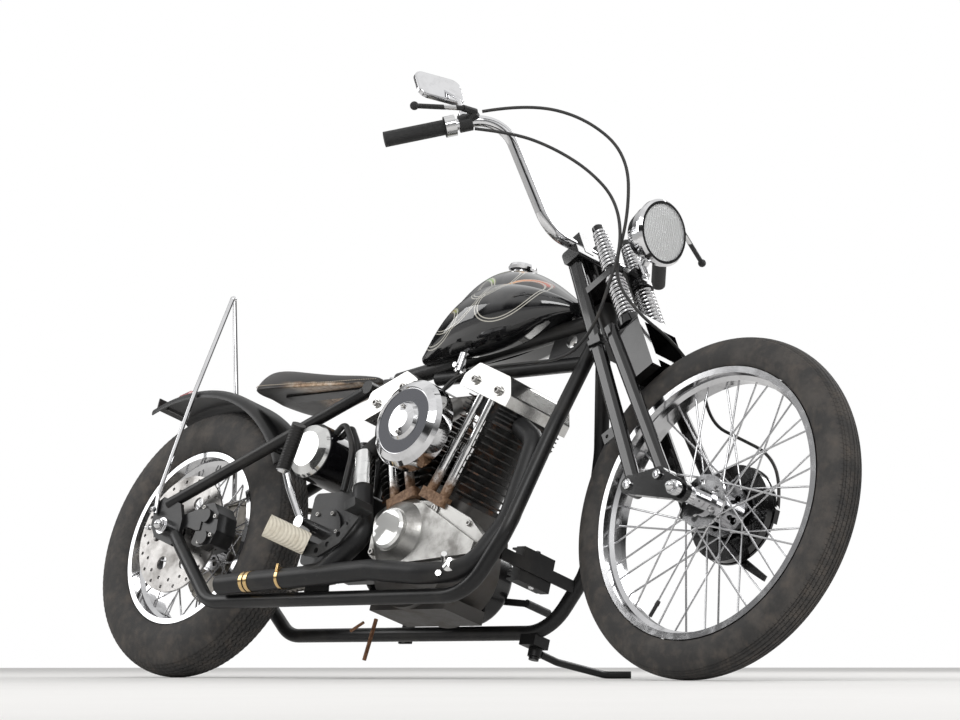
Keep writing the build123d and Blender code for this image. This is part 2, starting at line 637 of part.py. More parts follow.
def frame_rear_stays():
    group = []
    for side in (-1, 1):
        stay = rod((586, side * 91, 317), (-20, side * 112, 62), STAY_D)
        stay -= rod((585, -110, 318), (585, 110, 318), TUBE_D)
        stay += axle_plate(side)
        low_end = Vector(RAIL_END[0], side * RAIL_END[1], RAIL_END[2])
        bend = Vector(240, side * RAIL_Y, RAIL_Z)
        stay += rod(low_end + (low_end - bend).normalized() * 3 * FIT_GAP, (34, side * 111, -18), TUBE_D)
        group.append(stay - barrel(0, 0, *sorted((side * 90, side * 130)), AXLE_D + 0.2))
    x, z = FENDER_BRIDGE
    bridge = rod((x, -98, z), (x, 98, z), FENDER_BRIDGE_D)
    return group[0] + group[1] + bridge


def engine_cases():
    """The closed crankcase as one heavy block, with the decks that carry the cylinders."""
    x, z = CRANK
    cases = barrel(x, z, -75, 75, 240)
    cases += barrel(x, z, 75, 100, 190)
    cases += plate([(x - 140, z + 60), (x - 60, z + 130), (x + 60, z + 130), (x + 130, z + 40)], -70, 70)
    for lean in (VEE_HALF, -VEE_HALF):
        deck = Pos(0, 0, CYLINDER_BASE - 40) * extrude(RectangleRounded(142, 136, 24), 40 - FIT_GAP)
        cases += cylinder_frame(lean) * deck
    for lean in (VEE_HALF, -VEE_HALF):
        seat = extrude(Rectangle(142 + 2 * FIT_GAP, 136 + 2 * FIT_GAP), 60)
        cases -= cylinder_frame(lean) * (Pos(0, 0, CYLINDER_BASE - FIT_GAP) * seat)
    cases += rod((x + 60, 0, z + 40), (x + 175, 0, z + 40), 60)
    return cases + Pos(x, 0, z - 105) * Box(230, 120, 30)


def cam_cover():
    """The cast side cover with its cone and the round cap on the cone's end."""
    outline = [(700, 10), (745, 40), (900, 34), (1000, -10), (1060, -60)]
    outline += [(1040, -105), (930, -135), (780, -135), (705, -80)]
    body = plate(outline, -94, -75.3)
    body = fillet(body.edges().filter_by(Axis.Y), 16)
    x, z = CONE_AT
    cone = [(0, 75.3), (0, 126), (49, 126), (76, 100), (84, 92), (84, 75.3)]
    body += on_axis(x, z, 0, cone)
    rib = [(x + 30, z + 66), (x + 60, z + 66), (1035, -66), (1030, -92), (x + 20, z - 70)]
    body += plate(rib, -104, -92)
    for bolt_x, bolt_z in ((738, 18), (888, 14), (1010, -62), (905, -116), (760, -114)):
        body += barrel(bolt_x, bolt_z, -98, -90, 18)
    cap = [(0, 125), (0, 139), (40, 139), (46, 134), (46, 125)]
    return body + on_axis(x, z, 0, cap)


def cylinder_frame(lean):
    x, z = CRANK
    return Plane(origin=(x, 0, z), x_dir=(math.cos(math.radians(lean)), 0, -math.sin(math.radians(lean))),
                 z_dir=(math.sin(math.radians(lean)), 0, math.cos(math.radians(lean)))).location


def own_side(lean):
    """The room on one cylinder's own side of the vee."""
    x, z = CRANK
    return Pos(x + math.copysign(300 + FIT_GAP / 2, lean), 0, z + 300) * Box(600, 400, 900)


def cylinders():
    group = []
    for lean in (VEE_HALF, -VEE_HALF):
        tall = CYLINDER_TOP - CYLINDER_BASE
        body = Pos(0, 0, CYLINDER_BASE) * extrude(Circle(BORE_D / 2), tall)
        body += Pos(0, 0, CYLINDER_BASE) * extrude(RectangleRounded(142, 136, 24), 10)
        pitch = (tall - FIN_T) / (FIN_COUNT - 1)
        fins = []
        for index in range(1, FIN_COUNT):
            fin = RectangleRounded(2 * FIN_HALF, 2 * FIN_HALF, 40) - Pos(0, -FIN_HALF) * SlotOverall(92, 30)
            fins.append(Pos(0, 0, CYLINDER_BASE + index * pitch) * extrude(fin, FIN_T))
        group.append((cylinder_frame(lean) * body.fuse(*fins)) & own_side(lean))
    return Compound(children=group)


def rocker_boxes():
    """Each finned head with its polished rocker cover, wider than the head on the right."""
    group = []
    for lean in (VEE_HALF, -VEE_HALF):
        head = extrude(RectangleRounded(150, 2 * FIN_HALF - 30, 30), HEAD_HEIGHT)
        for index in range(HEAD_FINS):
            fin = RectangleRounded(2 * FIN_HALF, 2 * FIN_HALF, 36) - Pos(0, -FIN_HALF) * SlotOverall(92, 30)
            head += Pos(0, 0, index * HEAD_HEIGHT / HEAD_FINS) * extrude(fin, FIN_T)
        top = ROCKER_BOX_HEIGHT
        side = [(-84, 0), (84, 0), (84, 26), (56, top), (-56, top), (-84, 26)]
        cover = Plane.XZ * make_face(Polyline(*side, close=True))
        cover = Pos(0, 84, HEAD_HEIGHT) * extrude(cover, 192)
        cover = fillet(cover.edges().filter_by(Axis.Y).sort_by(Axis.Z)[-4:], 12)
        for x in (-42, 42):
            cover += Pos(x, -108, HEAD_HEIGHT + 24) * Rot(X=90) * Cylinder(11, 8)
        group.append(cylinder_frame(lean) * (Pos(0, 0, CYLINDER_TOP + FIT_GAP) * (head + cover)))
    return Compound(children=group)


def pushrod_tubes():
    """Telescoping covers that stand on the tappet blocks, two to a cylinder."""
    group = []
    for lean in (VEE_HALF, -VEE_HALF):
        block = Pos(0, PUSHROD_Y, 118) * extrude(RectangleRounded(86, 26, 6), 24)
        for offset in (-24, 24):
            block += rod((offset, PUSHROD_Y, 141), (offset * 0.9, PUSHROD_Y, 250), 22)
            block += rod((offset * 0.9, PUSHROD_Y, 244), (offset * 0.9, PUSHROD_Y, 262), 28)
            block += rod((offset * 0.9, PUSHROD_Y, 260), (offset * 0.8, PUSHROD_Y, CYLINDER_TOP + HEAD_HEIGHT), 18)
        tubes = cylinder_frame(lean) * block
        for offset in (0, -FIT_GAP):
            tubes -= Pos(0, offset, FIT_GAP) * cam_cover()
        group.append(tubes)
    return Compound(children=group)


def air_cleaner():
    """A round cover with a stepped rim and a bare ring round its middle."""
    x, z = AIR_CLEANER_AT
    radius = AIR_CLEANER_D / 2
    face, back = -AIR_CLEANER_Y[0], -AIR_CLEANER_Y[1]
    outline = [(0, back), (radius, back), (radius, back + 34), (radius - 8, back + 44), (radius - 22, face - 6)]
    outline += [(radius - 24, face - 10), (44, face - 10), (38, face - 3), (20, face), (0, face)]
    return on_axis(x, z, 0, outline)


def carburettor():
    """The carburettor and the manifold that forks to both heads."""
    x, z = AIR_CLEANER_AT
    body = barrel(x, z + 20, AIR_CLEANER_Y[1] + FIT_GAP, -96, 58)
    body += Pos(x, AIR_CLEANER_Y[1] + FIT_GAP + 28, z - 14) * Cylinder(24, 44)
    body += rod((x, -100, z + 20), (x + 5, -24, MANIFOLD_Z), MANIFOLD_D)
    return body + rod((MANIFOLD_ENDS[0], -24, MANIFOLD_Z), (MANIFOLD_ENDS[1], -24, MANIFOLD_Z), MANIFOLD_D)


def exhaust():
    """Two headers that join under the gearbox and leave as one cut-off pipe."""
    front = [(1026, -40, 220), (1112, -62, 168), (1112, -92, -20), (1064, -126, -140)]
    front += [(950, -156, -152), (800, -162, -142), (311, -162, -164)]
    rear = [(628, -40, 220), (622, -92, 150), (676, -122, 50), (730, -142, -55), (650, -160, -143), (600, -162, -149)]
    pipe = bent_tube(front, [45, 120, 90, 90, 90], PIPE_D) + bent_tube(rear, [45, 90, 40, 40], PIPE_D)
    for lean in (VEE_HALF, -VEE_HALF):
        width = 2 * FIN_HALF + 2 * FIT_GAP
        finned = extrude(RectangleRounded(width, width, 36), CYLINDER_TOP - CYLINDER_BASE + 100)
        pipe -= cylinder_frame(lean) * (Pos(0, 0, CYLINDER_BASE) * finned)
    return pipe - rod((480, -162, -156.4), (302, -162, -164.4), PIPE_D - 2 * PIPE_WALL)


def primary_case():
    """The closed cover over the engine sprocket and the clutch."""
    circles = [(CRANK, 95), (CLUTCH_AT, 118)]
    edges = [Pos(x, z) * Edge.make_circle(radius) for (x, z), radius in circles]
    case = Pos(0, PRIMARY_OUTER_Y - 10, 0) * extrude(Plane.XZ * make_hull(edges), PRIMARY_OUTER_Y - 110.3)
    case = fillet(case.faces().sort_by(Axis.Y)[-1].edges(), 14)
    return case + barrel(CLUTCH_AT[0], CLUTCH_AT[1], PRIMARY_OUTER_Y - 11, PRIMARY_OUTER_Y, 150)


def gearbox():
    """The closed gearbox as one block, with its kick cover and output shaft."""
    box = Pos(552, -9, -10) * Box(165, 146, 170)
    box = fillet(box.edges().filter_by(Axis.Y), 14)
    cover = barrel(KICK_AT[0], KICK_AT[1], -88, -80, 118)
    return box + cover + barrel(*DRIVE_AT, 60, 88, 100)


def kick_starter():
    """The folding pedal on its bent arm, with the arm's shaft in the gearbox cover."""
    x, z = KICK_AT
    arm = bent_tube([(x, -150, z), (480, -168, 56), (462, -182, 104), (476, -196, 128)], [60, 22], KICK_D)
    arm += rod((x, -162, z), (x, -88 - FIT_GAP, z), 30)
    arm += rod((460, -184, 94), (516, -214, 190), 32)
    return arm


def oil_tank():
    """A cylinder across the frame with a domed cap on each end and its filler."""
    x, z = OIL_TANK_AT
    half, radius = 125, OIL_TANK_D / 2
    dome = [(0, -half), (radius - 24, -half), (radius - 6, 9 - half), (radius, 18 - half)]
    dome += [(radius, half - 18), (radius - 6, half - 9), (radius - 24, half), (0, half)]
    tank = on_axis(x, z, 0, dome)
    tank += Pos(x, 60, z + radius + 2) * Cylinder(24, 14)
    strap = rod((x, -92, z + radius - 4), (x, 92, z + radius - 4), 18)
    return tank + strap


def oil_hoses():
    """Feed and return, from the oil tank to the gearbox's deck."""
    x, z = OIL_TANK_AT
    out = (OIL_TANK_D / 2 + FIT_GAP) * math.cos(math.radians(45))
    group = []
    for y in (-86, -66):
        points = [(x + out, y, z + out), (x + out + 24, y, z + out + 24)]
        points += [(567, y, 180), (565, y, 75 + FIT_GAP)]
        group.append(cord(points, HOSE_D))
    return Compound(children=group)


def fuel_tank():
    """A narrow saddle tank, lofted through upright sections, with its tunnel cut out."""
    # x, belly height, height of the widest place, crown height, half width
    stations = [(668, 398, 410, 428, 34), (740, 398, 440, 506, 74), (840, 402, 460, 594, 104),
                (930, 414, 470, 602, 110), (1030, 446, 488, 558, 90), (1104, 480, 492, 508, 38)]
    faces = []
    for x, belly, wide, crown, half in stations:
        shoulder = wide + 0.55 * (crown - wide)
        lower = [(-0.55 * half, belly), (0.55 * half, belly)]
        upper = [(0.74 * half, shoulder), (-0.74 * half, shoulder)]
        outline = Line(*lower) + ThreePointArc(lower[1], (half, wide), upper[0])
        outline += ThreePointArc(upper[0], (0, crown), upper[1]) + ThreePointArc(upper[1], (-half, wide), lower[0])
        faces.append(Plane(origin=(x, 0, 0), x_dir=(0, 1, 0), z_dir=(1, 0, 0)) * make_face(outline))
    tank = loft(faces)
    join = STEERING.from_local_coords(Vector(0, 0, NECK_HIGH - 26))
    rear = Vector(BACKBONE_REAR[0], 0, BACKBONE_REAR[1])
    tunnel = rod(join, rear, BACKBONE_D + 2 * FIT_GAP)
    half = BACKBONE_D / 2 + FIT_GAP
    tunnel += plate([(join.X, join.Z), (rear.X, rear.Z), (rear.X, 300), (join.X, 300)], -half, half)
    return tank - tunnel


def fuel_fittings():
    """The filler cap and the tap under the tank, each cut to seat on the tank's skin."""
    tank = fuel_tank()
    cap = on_axis(0, 0, 0, [(0, -30), (22, -30), (22, 7), (30, 9), (33, 15), (30, 22), (14, 27), (0, 28)])
    cap = Pos(896, 0, 600) * Rot(X=-90) * cap - Pos(0, 0, FIT_GAP) * tank
    tap = rod((820, -44, 430), (814, -50, 358), 20) - Pos(0, 0, -FIT_GAP) * tank
    tap = tap.solids().sort_by(Axis.Z)[0] + rod((814, -66, 368), (814, -32, 368), 12)
    return Compound(children=[cap.solids().sort_by(Axis.Z)[-1], tap])


def solo_seat():
    """The leather pad as one plain solid with its raised tail and drooping sides."""
    # x, crown above the underside, droop of the rim, half width
    stations = [(122, 15, 4, 34), (142, 34, 9, 70), (184, 43, 18, 96), (236, 42, 22, 101),
                (302, 32, 18, 86), (390, 22, 10, 58), (470, 20, 4, 40), (530, 12, 1, 26)]
    faces = []
    for x, crown, droop, half in stations:
        floor, rim = SEAT_Z, SEAT_Z - droop
        outline = Polyline((-half, rim + 7), (-half + 3, rim), (-18, floor), (18, floor), (half - 3, rim), (half, rim + 7))
        outline += ThreePointArc((half, rim + 7), (0, floor + crown), (-half, rim + 7))
        faces.append(Plane(origin=(x, 0, 0), x_dir=(0, 1, 0), z_dir=(1, 0, 0)) * make_face(outline))
    return loft(faces)


def fender_point(angle, out=0.0):
    """A point of the fender's arc, at an angle from the front, as x and z."""
    radius = FENDER_RADIUS + out
    x = FENDER_AT[0] + radius * math.cos(math.radians(angle))
    return (x, FENDER_AT[1] + radius * math.sin(math.radians(angle)))


def rear_fender():
    """A short rolled fender with turned-down sides and the number plate's bracket."""
    x, z = FENDER_AT
    half = FENDER_WIDTH / 2
    shells = []
    for wall in (0, FENDER_T):
        shell = barrel(x, z, wall - half, half - wall, 2 * (FENDER_RADIUS - wall))
        shells.append(fillet(shell.edges(), FENDER_DEPTH - 1 - wall))
    fender = shells[0] - shells[1] - barrel(x, z, -half - 1, half + 1, 2 * (FENDER_RADIUS - FENDER_DEPTH))
    start, stop = FENDER_SPAN
    middle = (start + stop) / 2
    keep = plate([FENDER_AT, fender_point(start, 300), fender_point(middle, 900), fender_point(stop, 300)], -half, half)
    x, z = fender_point(stop - 2)
    bracket = [(x + 14, z + 2), (x - 34, z + 6), (x - 34, z + 30), (x - 38, z + 30), (x - 38, z), (x + 10, z - 4)]
    return (fender & keep) + plate(bracket, -30, 30)


def sissy_bar():
    """Two rods that rise from the axle plates past the fender and meet at the top."""
    x, z = SISSY_TOP
    top = Pos(x, 0, z) * Sphere(SISSY_D * 0.75)
    for side in (-1, 1):
        foot = side * (AXLE_PLATE_Y[1] + SISSY_D / 2 + FIT_GAP)
        waist = side * (FENDER_WIDTH / 2 + SISSY_D / 2 + 2 * FIT_GAP)
        low, high = AXLE_PLATE_TOP + 6, FENDER_AT[1] + FENDER_RADIUS - FENDER_DEPTH + 12
        top += bent_tube([(-50, foot, 36), (-58, foot, low), (-90, waist, high), (x, side * 3, z)], [40, 120], SISSY_D)
    return top


def tail_lamp():
    """A small round lamp that lies along the top of the fender."""
    out = TAIL_LAMP_D / 2 + FIT_GAP
    rear, front = fender_point(107, out), fender_point(102.6, out)
    return rod((rear[0], 0, rear[1]), (front[0], 0, front[1]), TAIL_LAMP_D)


def foot_controls():
    """Pegs on their brackets, the drilled brake pedal and the shift lever."""
    x, y, z = PEG_AT
    group = []
    for side in (-1, 1):
        inner = (x, side * y, z)
        tip = (PEG_TIP[0], side * PEG_TIP[1], PEG_TIP[2])
        start = Vector(*inner) + (Vector(*tip) - Vector(*inner)) * 0.08
        peg = rod(start, tip, PEG_D) - rod(start * 0.6 + Vector(*tip) * 0.4, Vector(*tip) * 2 - start, PEG_BORE)
        group.append(peg + rod(inner, start, 20))
    rail_top = RAIL_Z + TUBE_D / 2 + FIT_GAP
    bracket = [(x - 30, rail_top), (x + 44, rail_top), (x + 18, z + 16), (x - 16, z + 16)]
    right = group[0] + plate(bracket, -RAIL_Y - 4, -RAIL_Y + 4) + rod((x, -RAIL_Y, z), (x, -y - 10, z), 20)
    lever = [(586, -108), (642, -114), (704, -84), (752, -24), (738, -10), (690, -58), (638, -86), (590, -82)]
    arm = fillet(plate(lever, -y - 11, -y - 5).edges().filter_by(Axis.Y), 5)
    holes = [barrel(a, b, -y - 13, -y - 3, 13) for a, b in ((634, -99), (666, -86), (694, -64), (718, -38))]
    pad = Pos(748, -y - 18, -8) * Rot(Y=-20) * Box(34, 54, 22)
    right += arm.cut(*holes) + fillet(pad.edges().filter_by(Axis.Y), 4)
    outer = PRIMARY_OUTER_Y + 3
    shift = plate([(x, z - 8), (958, -122), (958, -108), (x, z + 8)], outer, outer + 6)
    left = group[1] + shift + rod((958, outer, -115), (958, outer + 72, -115), 18)
    left += plate([(x - 20, RAIL_Z - 10), (x + 20, RAIL_Z - 10), (x + 14, z + 14), (x - 14, z + 14)], outer, outer + 6)
    left += rod((x, RAIL_Y + TUBE_D / 2 + FIT_GAP, RAIL_Z), (x, outer + 2, RAIL_Z), 20)
    return Compound(children=[right, left + rod((x, outer, z), (x, y + 4, z), 20)])


def brake_caliper():
    """Two halves bridged over the disc, on a bracket that sits on the axle."""
    outline = [(88, -38), (118, -48), (160, -40), (172, -8), (166, 34), (140, 62), (104, 58), (92, 30), (98, 0)]
    body = plate(outline, -DISC_Y - 32, -DISC_Y + 26)
    body = fillet(body.edges().filter_by(Axis.Y), 7)
    body -= barrel(0, 0, -DISC_Y - DISC_T / 2 - 2.5, -DISC_Y + DISC_T / 2 + 2.5, DISC_D + 10)
    for x, z, size in ((128, 28, 34), (134, -26, 34)):
        body += barrel(x, z, -DISC_Y - 40, -DISC_Y - 31, size)
    arm = [(-22, -22), (6, -22), (24, 2), (70, 2), (96, -6), (112, -6), (112, 44), (88, 46), (20, 30), (-22, 22)]
    bracket = plate(arm, -106.7, -98.7)
    bracket -= barrel(0, 0, -110, -90, AXLE_D + 0.4)
    return bracket + body


def regulator():
    """A finned box on a strap between the front tubes."""
    span = RAIL_Y - TUBE_D / 2 - FIT_GAP
    box = Pos(1120, 0, -98) * Box(24, 96, 74) + Pos(1134, 0, -98) * Box(5, 2 * span, 26)
    for index in range(7):
        box += Pos(1104, 0, -98 + (index - 3) * 11) * Box(16, 96, 4)
    return box


def side_stand():
    """A bent bar from its pivot under the left tube to a toe that lies on the floor."""
    x, y, z = STAND_PIVOT
    rest = STAND_D / 2 / math.cos(lean)
    heel = (STAND_HEEL[0], STAND_HEEL[1], stand_floor(STAND_HEEL[1]) + rest)
    toe = (STAND_TOE[0], STAND_TOE[1], stand_floor(STAND_TOE[1]) + rest)
    leg = bent_tube([(x + 6, y + 14, z), STAND_KNEE, heel, toe], [40, 30], STAND_D)
    leg += Pos(x, y, z) * Cylinder(15, STAND_EYE)
    return leg - Pos(x, y, z) * Cylinder(STAND_PIN_D / 2 + AXLE_CLEARANCE, STAND_EYE + 2)


def stand_floor(y):
    """Height of the floor under a point of the upright motorcycle."""
    return (y * math.sin(lean) - REAR_HEIGHT) / math.cos(lean)


def brake_cable():
    """Held from the lever to the brake plate, in the steering frame."""
    points = [(66, -312, 1008), (140, -246, 1002), (216, -166, 936), (254, -110, 816), (192, -90, 690)]
    points += [(108, -92, 590), (126, -78, 470), (136, 4, 420), (120, 84, 360), (92, 112, 268)]
    points += [(146, 114, 188), (198, 110, 108), (206, 96, 20), (184, 81, -46)]
    return cord(points, CABLE_D)


def throttle_cable():
    """The fork's part of the throttle cable, from the grip to the steering head."""
    points = [(30, -306, 990), (84, -248, 960), (134, -196, 898), (172, -146, 820), (190, -112, 730)]
    points += [(160, -98, 636), (100, -104, 560), (38, -106, 496), (-10, -92, 474)]
    return cord(points, CABLE_D)


def throttle_cable_lower():
    """The frame's part of the throttle cable, from the steering head to the carburettor."""
    x, z = AIR_CLEANER_AT
    points = [(1236, -88, 372), (1188, -76, 362), (1116, -56, 356), (1040, -50, 358), (950, -48, 360)]
    points += [(868, -66, 348), (836, -104, 306), (828, -114, z + 20 + 29 + FIT_GAP)]
    return cord(points, CABLE_D)


upright = Location((0, 0, 0))
front_hub = FORK * Location((AXLE_OFFSET, 0, 0))

# name, maker, place in the upright motorcycle
NODES = [
    ("frame_backbone", frame_backbone, upright),
    ("frame_right_rail", frame_right_rail, upright),
    ("frame_left_rail", frame_left_rail, upright),
    ("frame_rear_stays", frame_rear_stays, upright),
    ("rear_axle", rear_axle, upright),
    ("engine_cases", engine_cases, upright),
    ("cam_cover", cam_cover, upright),
    ("cylinders", cylinders, upright),
    ("rocker_boxes", rocker_boxes, upright),
    ("pushrod_tubes", pushrod_tubes, upright),
    ("air_cleaner", air_cleaner, upright),
    ("carburettor", carburettor, upright),
    ("exhaust", exhaust, upright),
    ("primary_case", primary_case, upright),
    ("gearbox", gearbox, upright),
    ("kick_starter", kick_starter, upright),
    ("oil_tank", oil_tank, upright),
    ("oil_hoses", oil_hoses, upright),
    ("fuel_tank", fuel_tank, upright),
    ("fuel_fittings", fuel_fittings, upright),
    ("solo_seat", solo_seat, upright),
    ("rear_fender", rear_fender, upright),
    ("sissy_bar", sissy_bar, upright),
    ("tail_lamp", tail_lamp, upright),
    ("drive_chain", drive_chain, upright),
    ("foot_controls", foot_controls, upright),
    ("brake_caliper", brake_caliper, upright),
    ("regulator", regulator, upright),
    ("side_stand", side_stand, upright),
    ("fork_rigid_legs", fork_rigid_legs, FORK),
    ("fork_spring_legs", fork_spring_legs, FORK),
    ("fork_springs", fork_springs, FORK),
    ("fork_rockers", fork_rockers, FORK),
    ("handlebar", handlebar, FORK),
    ("hand_controls", hand_controls, FORK),
    ("mirror", mirror, FORK),
    ("headlight", headlight, FORK),
    ("headlight_lens", headlight_lens, FORK),
    ("brake_cable", brake_cable, FORK),
    ("throttle_cable", throttle_cable, FORK),
    ("throttle_cable_lower", throttle_cable_lower, upright),
    ("front_axle", front_axle, front_hub),
    ("brake_plate", brake_plate, front_hub),
    ("front_tyre", front_tyre, front_hub),
    ("front_rim", front_rim, front_hub),
    ("front_drum", front_drum, front_hub),
    ("rear_tyre", rear_tyre, upright),
    ("rear_rim", rear_rim, upright),
    ("brake_disc", brake_disc, upright),
    ("rear_sprocket", rear_sprocket, upright),
]

os.makedirs("parts", exist_ok=True)
for name, make, place in NODES:
    export_step(PARK * (place * make()), "parts/" + name + ".step")
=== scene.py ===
"""Studio dressing of the parked chopper motorcycle: finishes, tyres, seat, chain, cables and small fittings."""
import bpy
import bmesh
import json
import math
from mathutils import Matrix, Vector


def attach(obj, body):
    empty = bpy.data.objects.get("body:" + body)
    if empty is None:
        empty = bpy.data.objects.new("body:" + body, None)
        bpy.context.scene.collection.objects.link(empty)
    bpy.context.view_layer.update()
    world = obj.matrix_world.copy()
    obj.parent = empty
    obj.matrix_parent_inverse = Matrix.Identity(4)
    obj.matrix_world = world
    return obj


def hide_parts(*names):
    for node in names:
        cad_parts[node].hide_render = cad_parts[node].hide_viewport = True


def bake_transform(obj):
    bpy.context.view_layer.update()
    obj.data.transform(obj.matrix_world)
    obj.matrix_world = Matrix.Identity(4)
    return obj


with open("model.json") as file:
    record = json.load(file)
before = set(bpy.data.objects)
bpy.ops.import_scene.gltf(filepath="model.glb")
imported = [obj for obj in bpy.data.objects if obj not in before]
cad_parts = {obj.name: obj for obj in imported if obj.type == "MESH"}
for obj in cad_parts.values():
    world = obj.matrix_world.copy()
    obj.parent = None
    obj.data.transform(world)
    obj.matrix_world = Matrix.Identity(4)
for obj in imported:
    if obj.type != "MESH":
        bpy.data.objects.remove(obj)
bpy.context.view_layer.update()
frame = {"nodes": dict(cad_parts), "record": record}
nodes = frame["nodes"]

bl_info = {
    "name": "Parked chopper dressing",
    "version": (1, 0, 0),
    "blender": (4, 5, 0),
    "location": "3D View > Sidebar > Chopper",
    "description": "Finishes and detail for the parked chopper motorcycle",
    "category": "Object",
}


# places and sizes on the solids, in millimetres of the upright bike or of the fork
CHAIN_PITCH = 15.875
COVER_LINE = 372.0
COVER_SCREW = (42, -111.8, 396.3)
CONE_CAP_RADIUS = 46.0
CONE_CAP_Y = -120.0
CLEANER_RING = (44.0, 75.0)
KICK_PEDAL_FOOT = 93.5
OIL_CAP_Y = 109.0
BAR_END = (-108, 440, 1007)
GRIP_LENGTH = 130.0
CLAMP_LENGTH = 27.5
PIPE_REAR = Vector((311, -162, -164))
PIPE_FRONT = Vector((800, -162, -142))
LAMP_AT = (208, 676)
GEARBOX_COVER = (528, -22, -87.6)
CLUTCH_COVER = (590, -5, 159.6)
STITCH_COUNT = 64


def axes_at(place, side, ahead):
    """A matrix from millimetres in a leaning frame to metres in the room: x ahead, y to the left, z up."""
    up = ahead.cross(side).normalized()
    turn = Matrix((side.cross(up), side, up)).transposed().to_4x4()
    return Matrix.Translation(place) @ turn @ Matrix.Scale(0.001, 4)


joints = {joint["name"]: joint for joint in frame["record"]["behaviour"]["joints"]}
rear_side = Vector(joints["rear_wheel_spin"]["axis"])
front_side = Vector(joints["front_wheel_spin"]["axis"])
BIKE = axes_at(Vector(joints["rear_wheel_spin"]["pos_m"]), rear_side, Vector((1, 0, 0)))
steer_up = Vector(joints["steering"]["axis"])
FORK = axes_at(Vector(joints["steering"]["pos_m"]), front_side, front_side.cross(steer_up))
HUB = axes_at(Vector(joints["front_wheel_spin"]["pos_m"]), front_side, front_side.cross(steer_up))


class Wire:
    """One socket of a material's tree; arithmetic on it adds Math nodes."""

    def __init__(self, finish, socket):
        self.finish = finish
        self.socket = socket

    def math(self, operation, *others):
        values = dict(enumerate((self,) + others))
        return self.finish.node("ShaderNodeMath", {"operation": operation}, values)

    def __add__(self, other):
        return self.math("ADD", other)

    def __sub__(self, other):
        return self.math("SUBTRACT", other)

    def __mul__(self, other):
        return self.math("MULTIPLY", other)

    def __truediv__(self, other):
        return self.math("DIVIDE", other)

    def __pow__(self, other):
        return self.math("POWER", other)

    def __neg__(self):
        return self.math("MULTIPLY", -1.0)

    def __abs__(self):
        return self.math("ABSOLUTE")

    def __rsub__(self, other):
        return (-self) + other

    def __rtruediv__(self, other):
        return self ** -1.0 * other

    __radd__ = __add__
    __rmul__ = __mul__

    def least(self, other):
        return self.math("MINIMUM", other)

    def most(self, other):
        return self.math("MAXIMUM", other)

    def between(self, low, high):
        """0 below low, 1 above high, and smooth in between; low may be the larger."""
        values = {"Value": self, "From Min": low, "From Max": high}
        return self.finish.node("ShaderNodeMapRange", {"interpolation_type": "SMOOTHSTEP"}, values)


class Finish:
    """A material of the motorcycle while its nodes are added."""

    made = {}

    def __init__(self, name):
        self.material = bpy.data.materials.new(name)
        self.material.use_nodes = True
        self.tree = self.material.node_tree
        self.tree.nodes.clear()
        Finish.made[name] = self.material

    def node(self, kind, settings=None, values=None, out=0):
        """Adds a node, sets it up, feeds its sockets, and returns one of its outputs."""
        node = self.tree.nodes.new(kind)
        for name, value in (settings or {}).items():
            if name == "stops":
                ramp = node.color_ramp
                while len(ramp.elements) < len(value):
                    ramp.elements.new(0.5)
                for element, (position, colour) in zip(ramp.elements, value):
                    element.position = position
                    element.color = (*colour, 1.0)
            else:
                setattr(node, name, value)
        for name, value in (values or {}).items():
            if isinstance(value, Wire):
                self.tree.links.new(value.socket, node.inputs[name])
            elif isinstance(value, tuple) and node.inputs[name].type == "RGBA":
                node.inputs[name].default_value = (*value, 1.0)
            else:
                node.inputs[name].default_value = value
        return Wire(self, node.outputs[out])

    def room(self):
        return self.node("ShaderNodeTexCoord", out="Object")

    def along(self, frame_matrix):
        """The point in the millimetres of a leaning frame, as x, y and z wires."""
        back = frame_matrix.inverted()
        place, turn, size = back.decompose()
        values = {"Vector": self.room(), "Location": place, "Rotation": turn.to_euler(), "Scale": size}
        point = self.node("ShaderNodeMapping", None, values)
        return [self.node("ShaderNodeSeparateXYZ", None, {0: point}, out) for out in range(3)]

    def noise(self, scale, detail=4.0, rough=0.55, warp=0.0):
        values = {"Vector": self.room(), "Scale": scale, "Detail": detail, "Roughness": rough, "Distortion": warp}
        return self.node("ShaderNodeTexNoise", None, values)

    def cells(self, scale):
        return self.node("ShaderNodeTexVoronoi", None, {"Vector": self.room(), "Scale": scale})

    def blend(self, share, low, high):
        return self.node("ShaderNodeMix", {"data_type": "RGBA"}, {0: share, 6: low, 7: high}, 2)

    def ramp(self, value, stops):
        return self.node("ShaderNodeValToRGB", {"stops": stops}, {0: value})

    def surface(self, colour, roughness, metallic=0.0, height=None, depth=0.001, strength=1.0, **fixed):
        values = {"Base Color": colour, "Roughness": roughness, "Metallic": metallic}
        for name, value in fixed.items():
            values[name.replace("_", " ").title().replace("Ior", "IOR")] = value
        if height is not None:
            bumps = {"Height": height, "Distance": depth, "Strength": strength}
            values["Normal"] = self.node("ShaderNodeBump", None, bumps)
        shader = self.node("ShaderNodeBsdfPrincipled", None, values)
        self.node_output(shader)

    def node_output(self, shader):
        output = self.tree.nodes.new("ShaderNodeOutputMaterial")
        self.tree.links.new(shader.socket, output.inputs["Surface"])


def enamel(name, shade, gloss, dust, peel=0.25, coat=0.25):
    """Black enamel with a little road dust, handling marks and orange peel."""
    f = Finish(name)
    grime = f.noise(9.0, 6.0, 0.62).between(0.46, 0.78) * dust
    specks = f.noise(160.0, 3.0).between(0.6, 0.75) * (dust * 0.6)
    colour = f.blend(grime.most(specks), (shade, shade, shade * 1.06), (0.14, 0.122, 0.1))
    rough = f.noise(24.0, 3.0) * 0.12 + gloss + grime * 0.3
    f.surface(colour, rough, 0.0, f.noise(420.0, 2.0), 0.0004, peel, coat_weight=coat, coat_roughness=gloss * 0.45,
              specular_ior_level=0.35)


